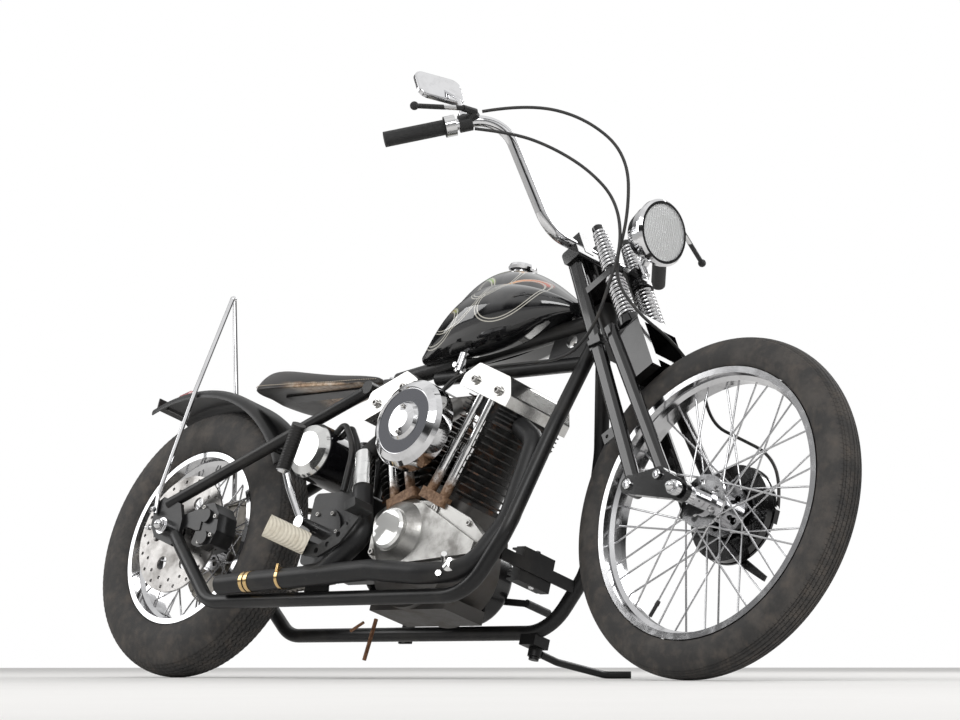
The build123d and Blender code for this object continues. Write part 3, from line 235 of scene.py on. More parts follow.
def plated(name, tint, gloss, marks, pits=0.25):
    """Chrome or polished metal with smears and the odd rust pit."""
    f = Finish(name)
    smear = f.noise(30.0, 5.0, 0.6, 0.8).between(0.42, 0.74)
    spots = f.cells(210.0).between(0.16, 0.05) * f.noise(14.0, 3.0).between(0.52, 0.66) * pits
    colour = f.blend(smear * marks, tint, tuple(c * 0.72 for c in tint))
    colour = f.blend(spots, colour, (0.16, 0.07, 0.035))
    f.surface(colour, smear * 0.12 + spots * 0.5 + gloss, 1.0, f.noise(55.0, 4.0), 0.0006, 0.06)


def casting(name, tint, rough, grain, grime_share):
    """Cast aluminium: fine sand grain, polished highs and oily grime."""
    f = Finish(name)
    grime = f.noise(11.0, 7.0, 0.66).between(0.44, 0.72) * grime_share
    stain = f.noise(46.0, 4.0, 0.6, 0.5).between(0.5, 0.8) * grime_share * 0.7
    colour = f.blend(grime.most(stain), tint, (0.1, 0.085, 0.07))
    height = f.noise(700.0, 2.0) + f.noise(90.0, 3.0) * 0.6
    f.surface(colour, f.noise(60.0, 3.0) * 0.16 + rough + grime * 0.3, 0.94 - grime * 0.55, height, 0.0007, grain)


def make_finishes(sizes):
    """Every finish of the motorcycle, by the name the pieces ask for."""
    enamel("frame_satin", 0.007, 0.32, 0.13, 0.25, 0.08)
    enamel("fork_gloss", 0.004, 0.09, 0.04, 0.08, 0.5)
    enamel("case_gloss", 0.006, 0.13, 0.1, 0.1, 0.4)
    enamel("pipe_matt", 0.01, 0.4, 0.2, 0.25, 0.05)
    enamel("caliper_black", 0.01, 0.34, 0.16)
    plated("chrome", (0.74, 0.74, 0.75), 0.04, 0.4)
    plated("bright_cover", (0.84, 0.84, 0.83), 0.12, 0.35, 0.05)
    plated("spoke_chrome", (0.6, 0.6, 0.61), 0.1, 0.55, 0.5)
    plated("brass_band", (0.78, 0.55, 0.26), 0.2, 0.5, 0.2)
    casting("case_cast", (0.4, 0.395, 0.385), 0.3, 0.5, 0.6)
    casting("case_dark", (0.13, 0.125, 0.12), 0.4, 0.5, 0.7)
    casting("bolt_steel", (0.46, 0.45, 0.435), 0.24, 0.2, 0.4)
    casting("disc_steel", (0.36, 0.35, 0.34), 0.2, 0.15, 0.5)
    casting("chain_steel", (0.34, 0.32, 0.29), 0.3, 0.2, 0.7)

    f = Finish("fin_enamel")
    rust = f.noise(28.0, 7.0, 0.7).between(0.5, 0.66) * f.noise(7.0, 3.0).between(0.42, 0.62)
    colour = f.blend(f.noise(60.0, 4.0), (0.012, 0.012, 0.012), (0.045, 0.043, 0.04))
    orange = f.ramp(f.noise(90.0, 4.0), [(0.3, (0.09, 0.03, 0.012)), (0.7, (0.3, 0.13, 0.05))])
    colour = f.blend(rust, colour, orange)
    f.surface(colour, rust * 0.35 + 0.38, 0.35 - rust * 0.3, f.noise(400.0, 3.0), 0.0006, 0.5)

    f = Finish("head_and_cover")
    x, y, z = f.along(BIKE)
    height = (z - sizes.crank_z) * math.cos(sizes.vee) + abs(x - sizes.crank_x) * math.sin(sizes.vee)
    cover = height.between(COVER_LINE - 1.0, COVER_LINE + 1.0)
    soot = f.noise(30.0, 6.0, 0.66).between(0.48, 0.7)
    black = f.blend(soot * 0.5, (0.016, 0.016, 0.016), (0.15, 0.07, 0.035))
    bright = f.blend(soot * 0.5, (0.56, 0.555, 0.54), (0.3, 0.285, 0.26))
    rough = (1 - cover) * 0.34 + f.noise(80.0, 3.0) * 0.1 + 0.13
    f.surface(f.blend(cover, black, bright), rough, cover * 0.8 + 0.18, f.noise(500.0, 2.0), 0.0005, 0.3)

    f = Finish("tube_chrome")
    x, y, z = f.along(BIKE)
    height = (z - sizes.crank_z) * math.cos(sizes.vee) + abs(x - sizes.crank_x) * math.sin(sizes.vee)
    worn = (f.noise(60.0, 5.0, 0.7) * 90 + height).between(250.0, 200.0)
    brown = f.ramp(f.noise(120.0, 4.0), [(0.3, (0.1, 0.045, 0.02)), (0.7, (0.32, 0.2, 0.12))])
    colour = f.blend(worn, (0.84, 0.84, 0.84), brown)
    f.surface(colour, worn * 0.5 + 0.07, 1 - worn * 0.75, f.noise(300.0, 3.0), 0.0005, 0.3)

    f = Finish("cone_cover")
    x, y, z = f.along(BIKE)
    reach = ((x - sizes.cone_x) ** 2.0 + (z - sizes.cone_z) ** 2.0) ** 0.5
    cap = reach.between(CONE_CAP_RADIUS + 1.0, CONE_CAP_RADIUS - 1.0)
    cap = cap * y.between(CONE_CAP_Y + 2.0, CONE_CAP_Y - 2.0)
    grime = f.noise(13.0, 7.0, 0.66).between(0.44, 0.72) * (1 - cap) * 0.6
    colour = f.blend(grime, f.blend(cap, (0.4, 0.395, 0.38), (0.86, 0.86, 0.84)), (0.07, 0.06, 0.05))
    rough = (1 - cap) * 0.2 + 0.08 + grime * 0.25
    height = f.noise(650.0, 2.0) * (1 - cap)
    f.surface(colour, rough, 0.95 - grime * 0.5 - cap * 0.5, height, 0.0006, 0.45)

    f = Finish("cleaner_cover")
    x, y, z = f.along(BIKE)
    reach = ((x - sizes.cleaner_x) ** 2.0 + (z - sizes.cleaner_z) ** 2.0) ** 0.5
    inner, outer = CLEANER_RING
    ring = reach.between(inner - 1.0, inner + 1.0) * reach.between(outer + 1.0, outer - 1.0)
    smear = f.noise(36.0, 5.0, 0.6, 0.6).between(0.45, 0.75)
    chrome = f.blend(smear * 0.4, (0.72, 0.72, 0.73), (0.42, 0.42, 0.42))
    colour = f.blend(ring, chrome, (0.004, 0.006, 0.018))
    f.surface(colour, smear * 0.1 + 0.06, 1 - ring, f.noise(60.0, 3.0), 0.0006, 0.05, specular_ior_level=0.3)

    f = Finish("kick_chrome")
    x, y, z = f.along(BIKE)
    pedal = z.between(KICK_PEDAL_FOOT - 1.5, KICK_PEDAL_FOOT + 1.5)
    smear = f.noise(40.0, 5.0, 0.6, 0.6).between(0.45, 0.75)
    chrome = f.blend(smear * 0.4, (0.74, 0.74, 0.75), (0.5, 0.5, 0.5))
    colour = f.blend(pedal, chrome, (0.012, 0.011, 0.011))
    ribs = (z * 1.1).math("SINE") * pedal
    f.surface(colour, smear * 0.1 + pedal * 0.42 + 0.05, 1 - pedal, ribs, 0.001, 0.4)

    f = Finish("oil_tank_enamel")
    x, y, z = f.along(BIKE)
    cap = y.between(1.0 - OIL_CAP_Y, -1.0 - OIL_CAP_Y).most(y.between(OIL_CAP_Y - 1.0, OIL_CAP_Y + 1.0))
    dust = f.noise(12.0, 6.0, 0.6).between(0.5, 0.8) * 0.2
    colour = f.blend(dust, f.blend(cap, (0.006, 0.006, 0.007), (0.7, 0.7, 0.69)), (0.16, 0.14, 0.115))
    f.surface(colour, dust + 0.1, cap * 0.92, f.noise(420.0, 2.0), 0.0004, 0.1)

    tank_paint(sizes)
    tyre_rubber("front_rubber", HUB, sizes.front_radius, 11.0)
    tyre_rubber("rear_rubber", BIKE, sizes.rear_radius, 13.0)

    f = Finish("black_rubber")
    dust = f.noise(60.0, 5.0).between(0.45, 0.8) * 0.35
    colour = f.blend(dust, (0.014, 0.014, 0.014), (0.13, 0.115, 0.1))
    f.surface(colour, dust + 0.45, 0.0, f.noise(500.0, 2.0), 0.0004, 0.3)

    f = Finish("grip_rubber")
    x, y, z = f.along(FORK)
    knurl = ((x + z) * 1.6).math("SINE") * ((z - x) * 1.6 + y * 1.4).math("SINE")
    # distance in from the bar's end, along the grip
    reach = (x - BAR_END[0]) * 0.722 + (BAR_END[1] - abs(y)) * 0.691 + (z - BAR_END[2]) * 0.023
    handle = reach.between(GRIP_LENGTH + 0.5, GRIP_LENGTH - 0.5)
    far = GRIP_LENGTH + CLAMP_LENGTH
    clamp = reach.between(GRIP_LENGTH + 0.5, GRIP_LENGTH + 1.0) * reach.between(far + 0.5, far - 0.5)
    colour = f.blend(clamp, (0.014, 0.014, 0.014), (0.7, 0.7, 0.7))
    f.surface(colour, f.noise(90.0, 3.0) * 0.2 + 0.4 - clamp * 0.32, clamp, knurl * handle, 0.0008, 0.7)

    f = Finish("peg_rubber")
    x, y, z = f.along(BIKE)
    worn = f.noise(40.0, 6.0, 0.65).between(0.42, 0.75)
    colour = f.blend(worn * 0.5, (0.83, 0.77, 0.64), (0.42, 0.34, 0.24))
    outer = abs(y).between(181.5, 183.0) * x.between(700.0, 690.0)
    far_side = y.between(-60.0, -64.0)
    colour = f.blend(outer * far_side, (0.018, 0.018, 0.018), colour)
    ribs = (abs(y) * 0.9).math("SINE") * outer
    f.surface(colour, worn * 0.2 + 0.5, 0.0, ribs, 0.001, 0.6)

    f = Finish("seat_leather")
    x, y, z = f.along(BIKE)
    grain = f.cells(420.0) * 0.6 + f.noise(900.0, 3.0) * 0.4
    rub = f.noise(26.0, 6.0, 0.66).between(0.46, 0.7)
    nose = x.between(250.0, 330.0) * (z + f.noise(40.0, 4.0) * 14).between(374.0, 366.0)
    colour = f.blend(rub * 0.35, (0.02, 0.018, 0.017), (0.12, 0.1, 0.085))
    shades = [(0.35, (0.16, 0.075, 0.035)), (0.5, (0.5, 0.36, 0.24)), (0.66, (0.7, 0.62, 0.52))]
    tan = f.ramp(f.noise(50.0, 5.0, 0.7), shades)
    f.surface(f.blend(nose, colour, tan), rub * 0.16 + 0.36, 0.0, grain, 0.0008, 0.55, sheen_weight=0.05)

    f = Finish("seat_thread")
    colour = f.blend(f.noise(300.0, 3.0), (0.66, 0.6, 0.5), (0.4, 0.33, 0.25))
    f.surface(colour, 0.75, 0.0, f.noise(2500.0, 2.0), 0.0003, 0.6)

    f = Finish("rusty_steel")
    shades = [(0.3, (0.07, 0.03, 0.015)), (0.55, (0.24, 0.11, 0.05)), (0.75, (0.4, 0.3, 0.22))]
    colour = f.ramp(f.noise(110.0, 7.0, 0.7), shades)
    f.surface(colour, 0.72, f.noise(60.0, 3.0) * 0.3, f.noise(800.0, 3.0), 0.0006, 0.6)

    f = Finish("red_lens")
    cut = f.cells(900.0)
    colour = f.blend(cut, (0.5, 0.012, 0.012), (0.32, 0.006, 0.008))
    f.surface(colour, f.noise(80.0, 2.0) * 0.1 + 0.08, 0.0, cut, 0.0008, 0.4, coat_weight=1.0)

    f = Finish("lamp_glass")
    x, y, z = f.along(FORK)
    flutes = abs((y * 0.52).math("SINE")) + abs((z * 0.4).math("SINE")) * 0.35
    dust = f.noise(50.0, 4.0).between(0.5, 0.8) * 0.1
    colour = f.blend(dust, (0.93, 0.94, 0.94), (0.7, 0.68, 0.64))
    f.surface(colour, dust + 0.04, 0.0, flutes, 0.0016, 0.7, transmission_weight=0.35, ior=1.45)


def tank_paint(sizes):
    """Gloss black with fine double lines that loop round the tank's flanks."""
    f = Finish("tank_lacquer")
    x, y, z = f.along(BIKE)
    lines = None
    accent = None
    # centre ahead, centre height, radius and stretch of each loop
    loops = [(812, 505, 62, 1.5), (905, 548, 44, 1.25), (968, 500, 50, 1.6), (760, 452, 34, 2.0)]
    for cx, cz, radius, squash in loops:
        dx, dz = (x - cx) / squash, (z - cz) - (x - cx) * 0.28
        reach = (dx ** 2.0 + dz ** 2.0) ** 0.5
        for offset in (0.0, 5.0):
            line = abs(reach - (radius - offset)).between(1.15, 0.65)
            lines = line if lines is None else lines.most(line)
        spot = abs(reach - (radius - 2.5)).between(5.0, 3.0) * z.between(cz + radius * 0.62, cz + radius * 0.85)
        accent = spot if accent is None else accent.most(spot)
    flank = abs(y).between(16.0, 20.0)
    colour = f.blend(f.noise(15.0, 4.0), (0.005, 0.005, 0.006), (0.011, 0.011, 0.012))
    shades = [(0.0, (0.75, 0.09, 0.02)), (0.4, (0.1, 0.5, 0.12))]
    shades += [(0.75, (0.85, 0.3, 0.04)), (1.0, (0.6, 0.05, 0.02))]
    hue = f.ramp((x - 740) / 300.0, shades)
    colour = f.blend(accent * flank, colour, hue)
    colour = f.blend(lines * flank, colour, (0.52, 0.5, 0.44))
    dust = f.noise(20.0, 6.0, 0.6).between(0.55, 0.85) * 0.12
    colour = f.blend(dust, colour, (0.3, 0.27, 0.24))
    f.surface(colour, dust + 0.07, 0.0, f.noise(300.0, 2.0), 0.0003, 0.05, coat_weight=1.0, coat_roughness=0.03)


def tyre_rubber(name, place, radius, pitch):
    """Dusty rubber with sipes across the tread, painted darker as shade in their cuts, and rings on the sidewall.
    """
    f = Finish(name)
    x, y, z = f.along(place)
    reach = (x ** 2.0 + z ** 2.0) ** 0.5
    turn = z.math("ARCTAN2", x)
    tread = reach.between(radius - 16.0, radius - 11.0)
    count = round(2 * math.pi * radius / pitch)
    sipes = (turn * count + (y * 0.16).math("FLOOR") * 2.1).math("SINE").between(0.93, 0.99) * tread
    dust = f.noise(16.0, 7.0, 0.65).between(0.4, 0.7)
    brown = f.noise(34.0, 5.0, 0.6).between(0.45, 0.75)
    colour = f.blend(dust * 0.75, (0.03, 0.0285, 0.0275), (0.088, 0.079, 0.071))
    colour = f.blend(brown * 0.4, colour, (0.125, 0.1, 0.08))
    # painted shade: the sipes are coloured darker than clean rubber, standing in for the shade inside the cuts
    colour = f.blend(sipes * 0.8, colour, (0.012, 0.011, 0.011))
    rings = (reach * 1.5).math("SINE").between(0.8, 1.0) * (1 - tread) * 0.12
    height = rings - sipes * 1.2 + f.noise(260.0, 4.0) * 0.25
    f.surface(colour, dust * 0.12 + 0.7, 0.0, height, 0.0014, 0.7)


def show(name, bm, finish, body, place=None, soft=False):
    """Turns a bmesh into a finished piece that rides on a body."""
    if place is not None:
        bm.transform(place)
    bmesh.ops.remove_doubles(bm, verts=bm.verts, dist=1e-6)
    bmesh.ops.recalc_face_normals(bm, faces=bm.faces)
    mesh = bpy.data.meshes.new(name)
    bm.to_mesh(mesh)
    bm.free()
    for face in mesh.polygons:
        face.use_smooth = True
    piece = bpy.data.objects.new(name, mesh)
    bpy.context.scene.collection.objects.link(piece)
    if not soft:
        mesh.set_sharp_from_angle(angle=math.radians(38))
    mesh.materials.append(Finish.made[finish])
    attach(piece, body)
    return piece


def tip_to(start, end):
    """A matrix that stands the Z axis on a start point, looking at an end point."""
    start, end = Vector(start), Vector(end)
    turn = (end - start).to_track_quat("Z", "X").to_matrix().to_4x4()
    return Matrix.Translation(start) @ turn


def turned(bm, outline, place, steps=24):
    """Spins an outline of (radius, height) points round the Z axis of a place."""
    points = [bm.verts.new((radius, 0, height)) for radius, height in outline]
    edges = [bm.edges.new(pair) for pair in zip(points, points[1:])]
    spun = bmesh.ops.spin(bm, geom=points + edges, cent=(0, 0, 0), axis=(0, 0, 1), dvec=(0, 0, 0),
                          angle=2 * math.pi, steps=steps, use_merge=True, use_duplicate=False)
    verts = {v for v in spun["geom_last"] if isinstance(v, bmesh.types.BMVert)} | set(points)
    reach = set(v for v in verts if v.is_valid)
    grown = list(reach)
    while grown:
        vert = grown.pop()
        for edge in vert.link_edges:
            other = edge.other_vert(vert)
            if other not in reach:
                reach.add(other)
                grown.append(other)
    bmesh.ops.remove_doubles(bm, verts=list(reach), dist=0.001)
    bmesh.ops.transform(bm, matrix=place, verts=[v for v in reach if v.is_valid])


def bar(bm, start, end, diameter, sides=16, tip=None):
    """A straight round bar; tip is its diameter at the far end."""
    length = (Vector(end) - Vector(start)).length
    middle = Matrix.Translation((0, 0, length / 2))
    far = diameter if tip is None else tip
    bmesh.ops.create_cone(bm, cap_ends=True, cap_tris=False, segments=sides, radius1=diameter / 2,
                          radius2=far / 2, depth=length, matrix=tip_to(start, end) @ middle)


def cap_screw(bm, place, across, tall):
    """A socket-headed screw: rounded rim, six-sided hole."""
    r = across / 2
    rim = [(r, 0), (r, tall * 0.8), (r * 0.86, tall), (r * 0.55, tall)]
    turned(bm, rim, place, 18)
    made = bmesh.ops.create_cone(bm, cap_ends=True, segments=6, radius1=r * 0.5, radius2=r * 0.56,
                                 depth=tall * 0.9, matrix=place @ Matrix.Translation((0, 0, tall * 0.55)))
    caps = {f for v in made["verts"] for f in v.link_faces if len(f.verts) == 6}
    top = [f for f in caps if (f.calc_center_median() - (place @ Vector((0, 0, tall)))).length < tall * 0.3]
    bmesh.ops.delete(bm, geom=top, context="FACES_ONLY")


def hex_nut(bm, place, across, tall, dome=0.0):
    """A six-sided nut with bevelled corners, with a dome on it for an acorn nut."""
    made = bmesh.ops.create_cone(bm, cap_ends=True, segments=6, radius1=across * 0.577, radius2=across * 0.577,
                                 depth=tall, matrix=place @ Matrix.Translation((0, 0, tall / 2)))
    edges = list({e for v in made["verts"] for e in v.link_edges})
    bmesh.ops.bevel(bm, geom=edges, offset=across * 0.05, offset_type="OFFSET", affect="EDGES", segments=2,
                    profile=0.5, material=-1)
    if dome:
        r = across * 0.44
        turns = [math.radians(15 * index) for index in range(7)]
        arc = [(r, tall - 0.2)] + [(r * math.cos(turn), tall + dome * math.sin(turn)) for turn in turns]
        turned(bm, arc, place, 20)


def tyre_piece(name, replaced, finish, place, radius, crown, rim, half, grooves, zigzag, steps, body):
    """A tyre of revolution with grooves round its tread, which sway to and fro where it has a zigzag."""
    line = []
    shoulder = half * 0.74
    samples = [shoulder * index / 30 for index in range(31)]
    for y in samples:
        cut = max([0.0] + [1 - max(0.0, abs(y - at) - 0.5) / 1.0 for at in grooves])
        line.append((radius - crown + math.sqrt(crown ** 2 - y ** 2) - 3.2 * max(0.0, min(1.0, cut)), y))
    top = line[-1][0]
    wall = [(0.3, 0.93), (0.52, 1.0), (0.7, 0.985), (0.88, 0.9), (0.97, 0.84), (1.0, 0.78)]
    line += [(top + (rim + 1.5 - top) * down, half * out) for down, out in wall]
    outline = [(r, y) for r, y in reversed(line)] + [(r, -y) for r, y in line[1:]]
    outline.append(outline[0])
    bm = bmesh.new()
    turned(bm, outline, Matrix.Rotation(math.radians(90), 4, "X"), steps)
    for vert in bm.verts:
        reach = math.hypot(vert.co.x, vert.co.z)
        if zigzag and reach > radius - crown + math.sqrt(crown ** 2 - (shoulder * 0.97) ** 2) - 5:
            step = round(math.atan2(vert.co.z, vert.co.x) / (2 * math.pi) * steps)
            vert.co.y += zigzag * (1 if step % 4 < 2 else -1) * max(0.0, 1 - abs(vert.co.y) / shoulder) ** 0.2
    piece = show(name, bm, finish, body, place)
    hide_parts(replaced)


def make_tyres(sizes):
    """The ribbed front tyre and the zigzag rear tyre."""
    ribs = (4.5, 13.5, 21.5, 26.0)
    tyre_piece("front_tyre_ribbed", "front_tyre", "front_rubber", HUB, sizes.front_radius, crown=45.0, rim=281.5,
               half=41.0, grooves=ribs, zigzag=0.0, steps=192, body="front_wheel")
    waves = (0.0, 11.0, 22.0, 33.0, 41.0)
    tyre_piece("rear_tyre_zigzag", "rear_tyre", "rear_rubber", BIKE, sizes.rear_radius, crown=70.0, rim=217.0,
               half=62.0, grooves=waves, zigzag=1.7, steps=480, body="rear_wheel")


def seat_section(x):
    """Crown, droop and half width of the seat at a station, as the solid has them."""
    rows = [(122, 15, 4, 34), (142, 34, 9, 70), (184, 43, 18, 96), (236, 42, 22, 101),
            (302, 32, 18, 86), (390, 22, 10, 58), (470, 20, 4, 40), (530, 12, 1, 26)]
    for low, high in zip(rows, rows[1:]):
        if x <= high[0]:
            share = (x - low[0]) / (high[0] - low[0])
            return [a + (b - a) * share for a, b in zip(low[1:], high[1:])]
    return rows[-1][1:]


def make_seat(sizes):
    """The padded leather seat, its rolled edge and its stitching."""
    floor = sizes.seat_floor
    stations = [124, 133, 148, 168, 192, 222, 256, 292, 332, 374, 418, 462, 500, 528]
    bm = bmesh.new()
    loops = []
    for x in stations:
        crown, droop, half = seat_section(x)
        ring = bmesh.ops.create_circle(bm, segments=28, radius=1.0)["verts"]
        for vert in ring:
            turn = math.atan2(vert.co.y, vert.co.x)
            across, lift = math.cos(turn), math.sin(turn)
            wide = math.copysign(abs(across) ** 0.75, across)
            rim = floor - droop * abs(wide) ** 1.6
            if lift > 0:
                top = (crown + droop) * (1 - abs(wide) ** 2.3) ** 0.8
                top += 9 * abs(lift) ** 0.4 * (1 - (1 - lift) ** 6)
                z = rim + 6 + min(top, crown + droop * abs(wide) ** 1.6) * 0.97
            else:
                z = rim + 6 + 6 * lift
            vert.co = (x, wide * (half - 2), z)
        loops.append([e for e in bm.edges if e.verts[0] in ring and e.verts[1] in ring])
    for low, high in zip(loops, loops[1:]):
        bmesh.ops.bridge_loops(bm, edges=low + high)
    for loop in (loops[0], loops[-1]):
        bmesh.ops.contextual_create(bm, geom=loop)
    seat = show("seat_pad", bm, "seat_leather", "frame", BIKE, soft=True)
    smooth = seat.modifiers.new("soft", "SUBSURF")
    smooth.levels = smooth.render_levels = 2
    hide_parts("solo_seat")
    bm = bmesh.new()
    edge = []
    for side in (-1, 1):
        for step in range(STITCH_COUNT):
            x = 134 + step * (520 - 134) / (STITCH_COUNT - 1)
            crown, droop, half = seat_section(x)
            edge.append((x, side * (half * 0.985 - 1), floor - droop * 0.98 + 13.5, side))
    for (x, y, z, side), (x2, y2, z2, side2) in zip(edge, edge[1:]):
        if side == side2:
            start, end = Vector((x, y, z)), Vector((x2, y2, z2))
            bar(bm, start.lerp(end, 0.18), start.lerp(end, 0.8), 1.7, 6)
    show("seat_stitching", bm, "seat_thread", "frame", BIKE)


def chain_loop(sizes):
    """The chain's arcs, as centre, radius, first angle and turn, and the length of each straight run."""
    teeth = (sizes.sprocket_teeth, sizes.drive_teeth)
    big, small = (CHAIN_PITCH / 2 / math.sin(math.pi / count) for count in teeth)
    gap = Vector((sizes.drive_x, 0, sizes.drive_z))
    lift, reach = math.atan2(gap.z, gap.x), gap.length
    opening = math.acos((big - small) / reach)
    run = math.sqrt(reach ** 2 - (big - small) ** 2)
    arcs = [(Vector(), big, lift + opening, 2 * math.pi - 2 * opening), (gap, small, lift - opening, 2 * opening)]
    return arcs, run


def chain_pins(sizes):
    """Centre points of the chain's pins round both sprockets, an even number of pitches apart."""
    arcs, run = chain_loop(sizes)
    total = sum(radius * angle for _, radius, _, angle in arcs) + 2 * run
    count = 2 * round(total / CHAIN_PITCH / 2)
    points = []
    for index in range(count):
        s = total * index / count
        for centre, radius, start, angle in arcs:
            if s <= radius * angle:
                turn = start + s / radius
                points.append(centre + Vector((math.cos(turn), 0, math.sin(turn))) * radius)
                break
            s -= radius * angle
            turn = start + angle
            tangent = Vector((-math.sin(turn), 0, math.cos(turn)))
            if s <= run:
                points.append(centre + Vector((math.cos(turn), 0, math.sin(turn))) * radius + tangent * s)
                break
            s -= run
    return points


def make_chain(sizes):
    """Every roller and side plate of the drive chain."""
    pins = chain_pins(sizes)
    bm = bmesh.new()
    y = sizes.chain_y
    for index, pin in enumerate(pins):
        after = pins[(index + 1) % len(pins)]
        out = 8.2 if index % 2 else 6.4
        bar(bm, pin + Vector((0, y - 5, 0)), pin + Vector((0, y + 5, 0)), 10.0, 10)
        bar(bm, pin + Vector((0, y - 9, 0)), pin + Vector((0, y + 9, 0)), 4.6, 8)
        ahead = (after - pin).normalized()
        up = Vector((-ahead.z, 0, ahead.x))
        for side in (-1, 1):
            centre = (pin + after) / 2 + Vector((0, y + side * out, 0))
            turn = Matrix((ahead, up, Vector((0, 1, 0)))).transposed().to_4x4()
            made = bmesh.ops.create_circle(bm, cap_ends=True, segments=12, radius=6.6,
                                           matrix=Matrix.Translation(centre) @ turn)["verts"]
            for vert in made:
                along = (vert.co - centre).dot(ahead)
                lift = (vert.co - centre).dot(up)
                vert.co += ahead * math.copysign(7.9, along)
                if abs(along) < 2.4:
                    vert.co -= up * lift * 0.22
            faces = list({f for v in made for f in v.link_faces if all(w in made for w in f.verts)})
            grown = bmesh.ops.extrude_face_region(bm, geom=faces)["geom"]
            moved = [v for v in grown if isinstance(v, bmesh.types.BMVert)]
            bmesh.ops.translate(bm, verts=moved, vec=(0, 1.5 * side, 0))
    piece = show("chain_links", bm, "chain_steel", "frame", BIKE)
    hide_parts("drive_chain")


def cable(name, points, place, diameter, finish):
    """A smooth cable through the route's points."""
    curve = bpy.data.curves.new(name, "CURVE")
    curve.dimensions = "3D"
    curve.bevel_depth = diameter / 2000
    curve.bevel_resolution = 3
    curve.resolution_u = 10
    curve.use_fill_caps = True
    spline = curve.splines.new("NURBS")
    spline.points.add(len(points) - 1)
    for target, point in zip(spline.points, points):
        target.co = (*(place @ Vector(point)), 1.0)
    spline.order_u = 3
    spline.use_endpoint_u = True
    curve.materials.append(Finish.made[finish])
    piece = bpy.data.objects.new(name, curve)
    bpy.context.scene.collection.objects.link(piece)
    return piece


def make_cables(sizes):
    """The brake's cable, the throttle's cable and the petrol hose."""
    size = sizes.cable_diameter * 1000
    points = [(66, -312, 1008), (140, -246, 1002), (216, -166, 936), (254, -110, 816), (192, -90, 690)]
    points += [(108, -92, 590), (126, -78, 470), (136, 4, 420), (120, 84, 360), (92, 112, 268)]
    points += [(146, 114, 188), (198, 110, 108), (206, 96, 20), (184, 81, -46)]
    brake = cable("front_brake_cable", points, FORK, size, "black_rubber")
    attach(brake, "fork")
    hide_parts("brake_cable")
    upper = [(30, -306, 990), (84, -248, 960), (134, -196, 898), (172, -146, 820), (190, -112, 730)]
    upper += [(160, -98, 636), (100, -104, 560), (38, -106, 496)]
    lower = [(1188, -76, 362), (1116, -56, 356), (1040, -50, 358), (950, -48, 360)]
    lower += [(868, -66, 348), (836, -104, 306), (828, -114, 239.3)]
    back = FORK.inverted()
    route = [Vector(p) for p in upper] + [back @ (BIKE @ Vector(p)) for p in lower]
    line = cable("throttle_cable_line", route, FORK, size, "black_rubber")
    bpy.context.view_layer.update()
    mesh = bpy.data.meshes.new_from_object(line.evaluated_get(bpy.context.evaluated_depsgraph_get()))
    bpy.data.objects.remove(line)
    throttle = bpy.data.objects.new("throttle_cable_run", mesh)
    bpy.context.scene.collection.objects.link(throttle)
    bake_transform(throttle)
    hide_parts("throttle_cable", "throttle_cable_lower")
    feed = [(814, -50, 360), (813, -52, 338), (806, -66, 312)]
    feed += [(806, -90, 290), (816, -106, 262), (822, -110, 236)]
    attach(cable("petrol_hose", feed, BIKE, 9, "black_rubber"), "frame")


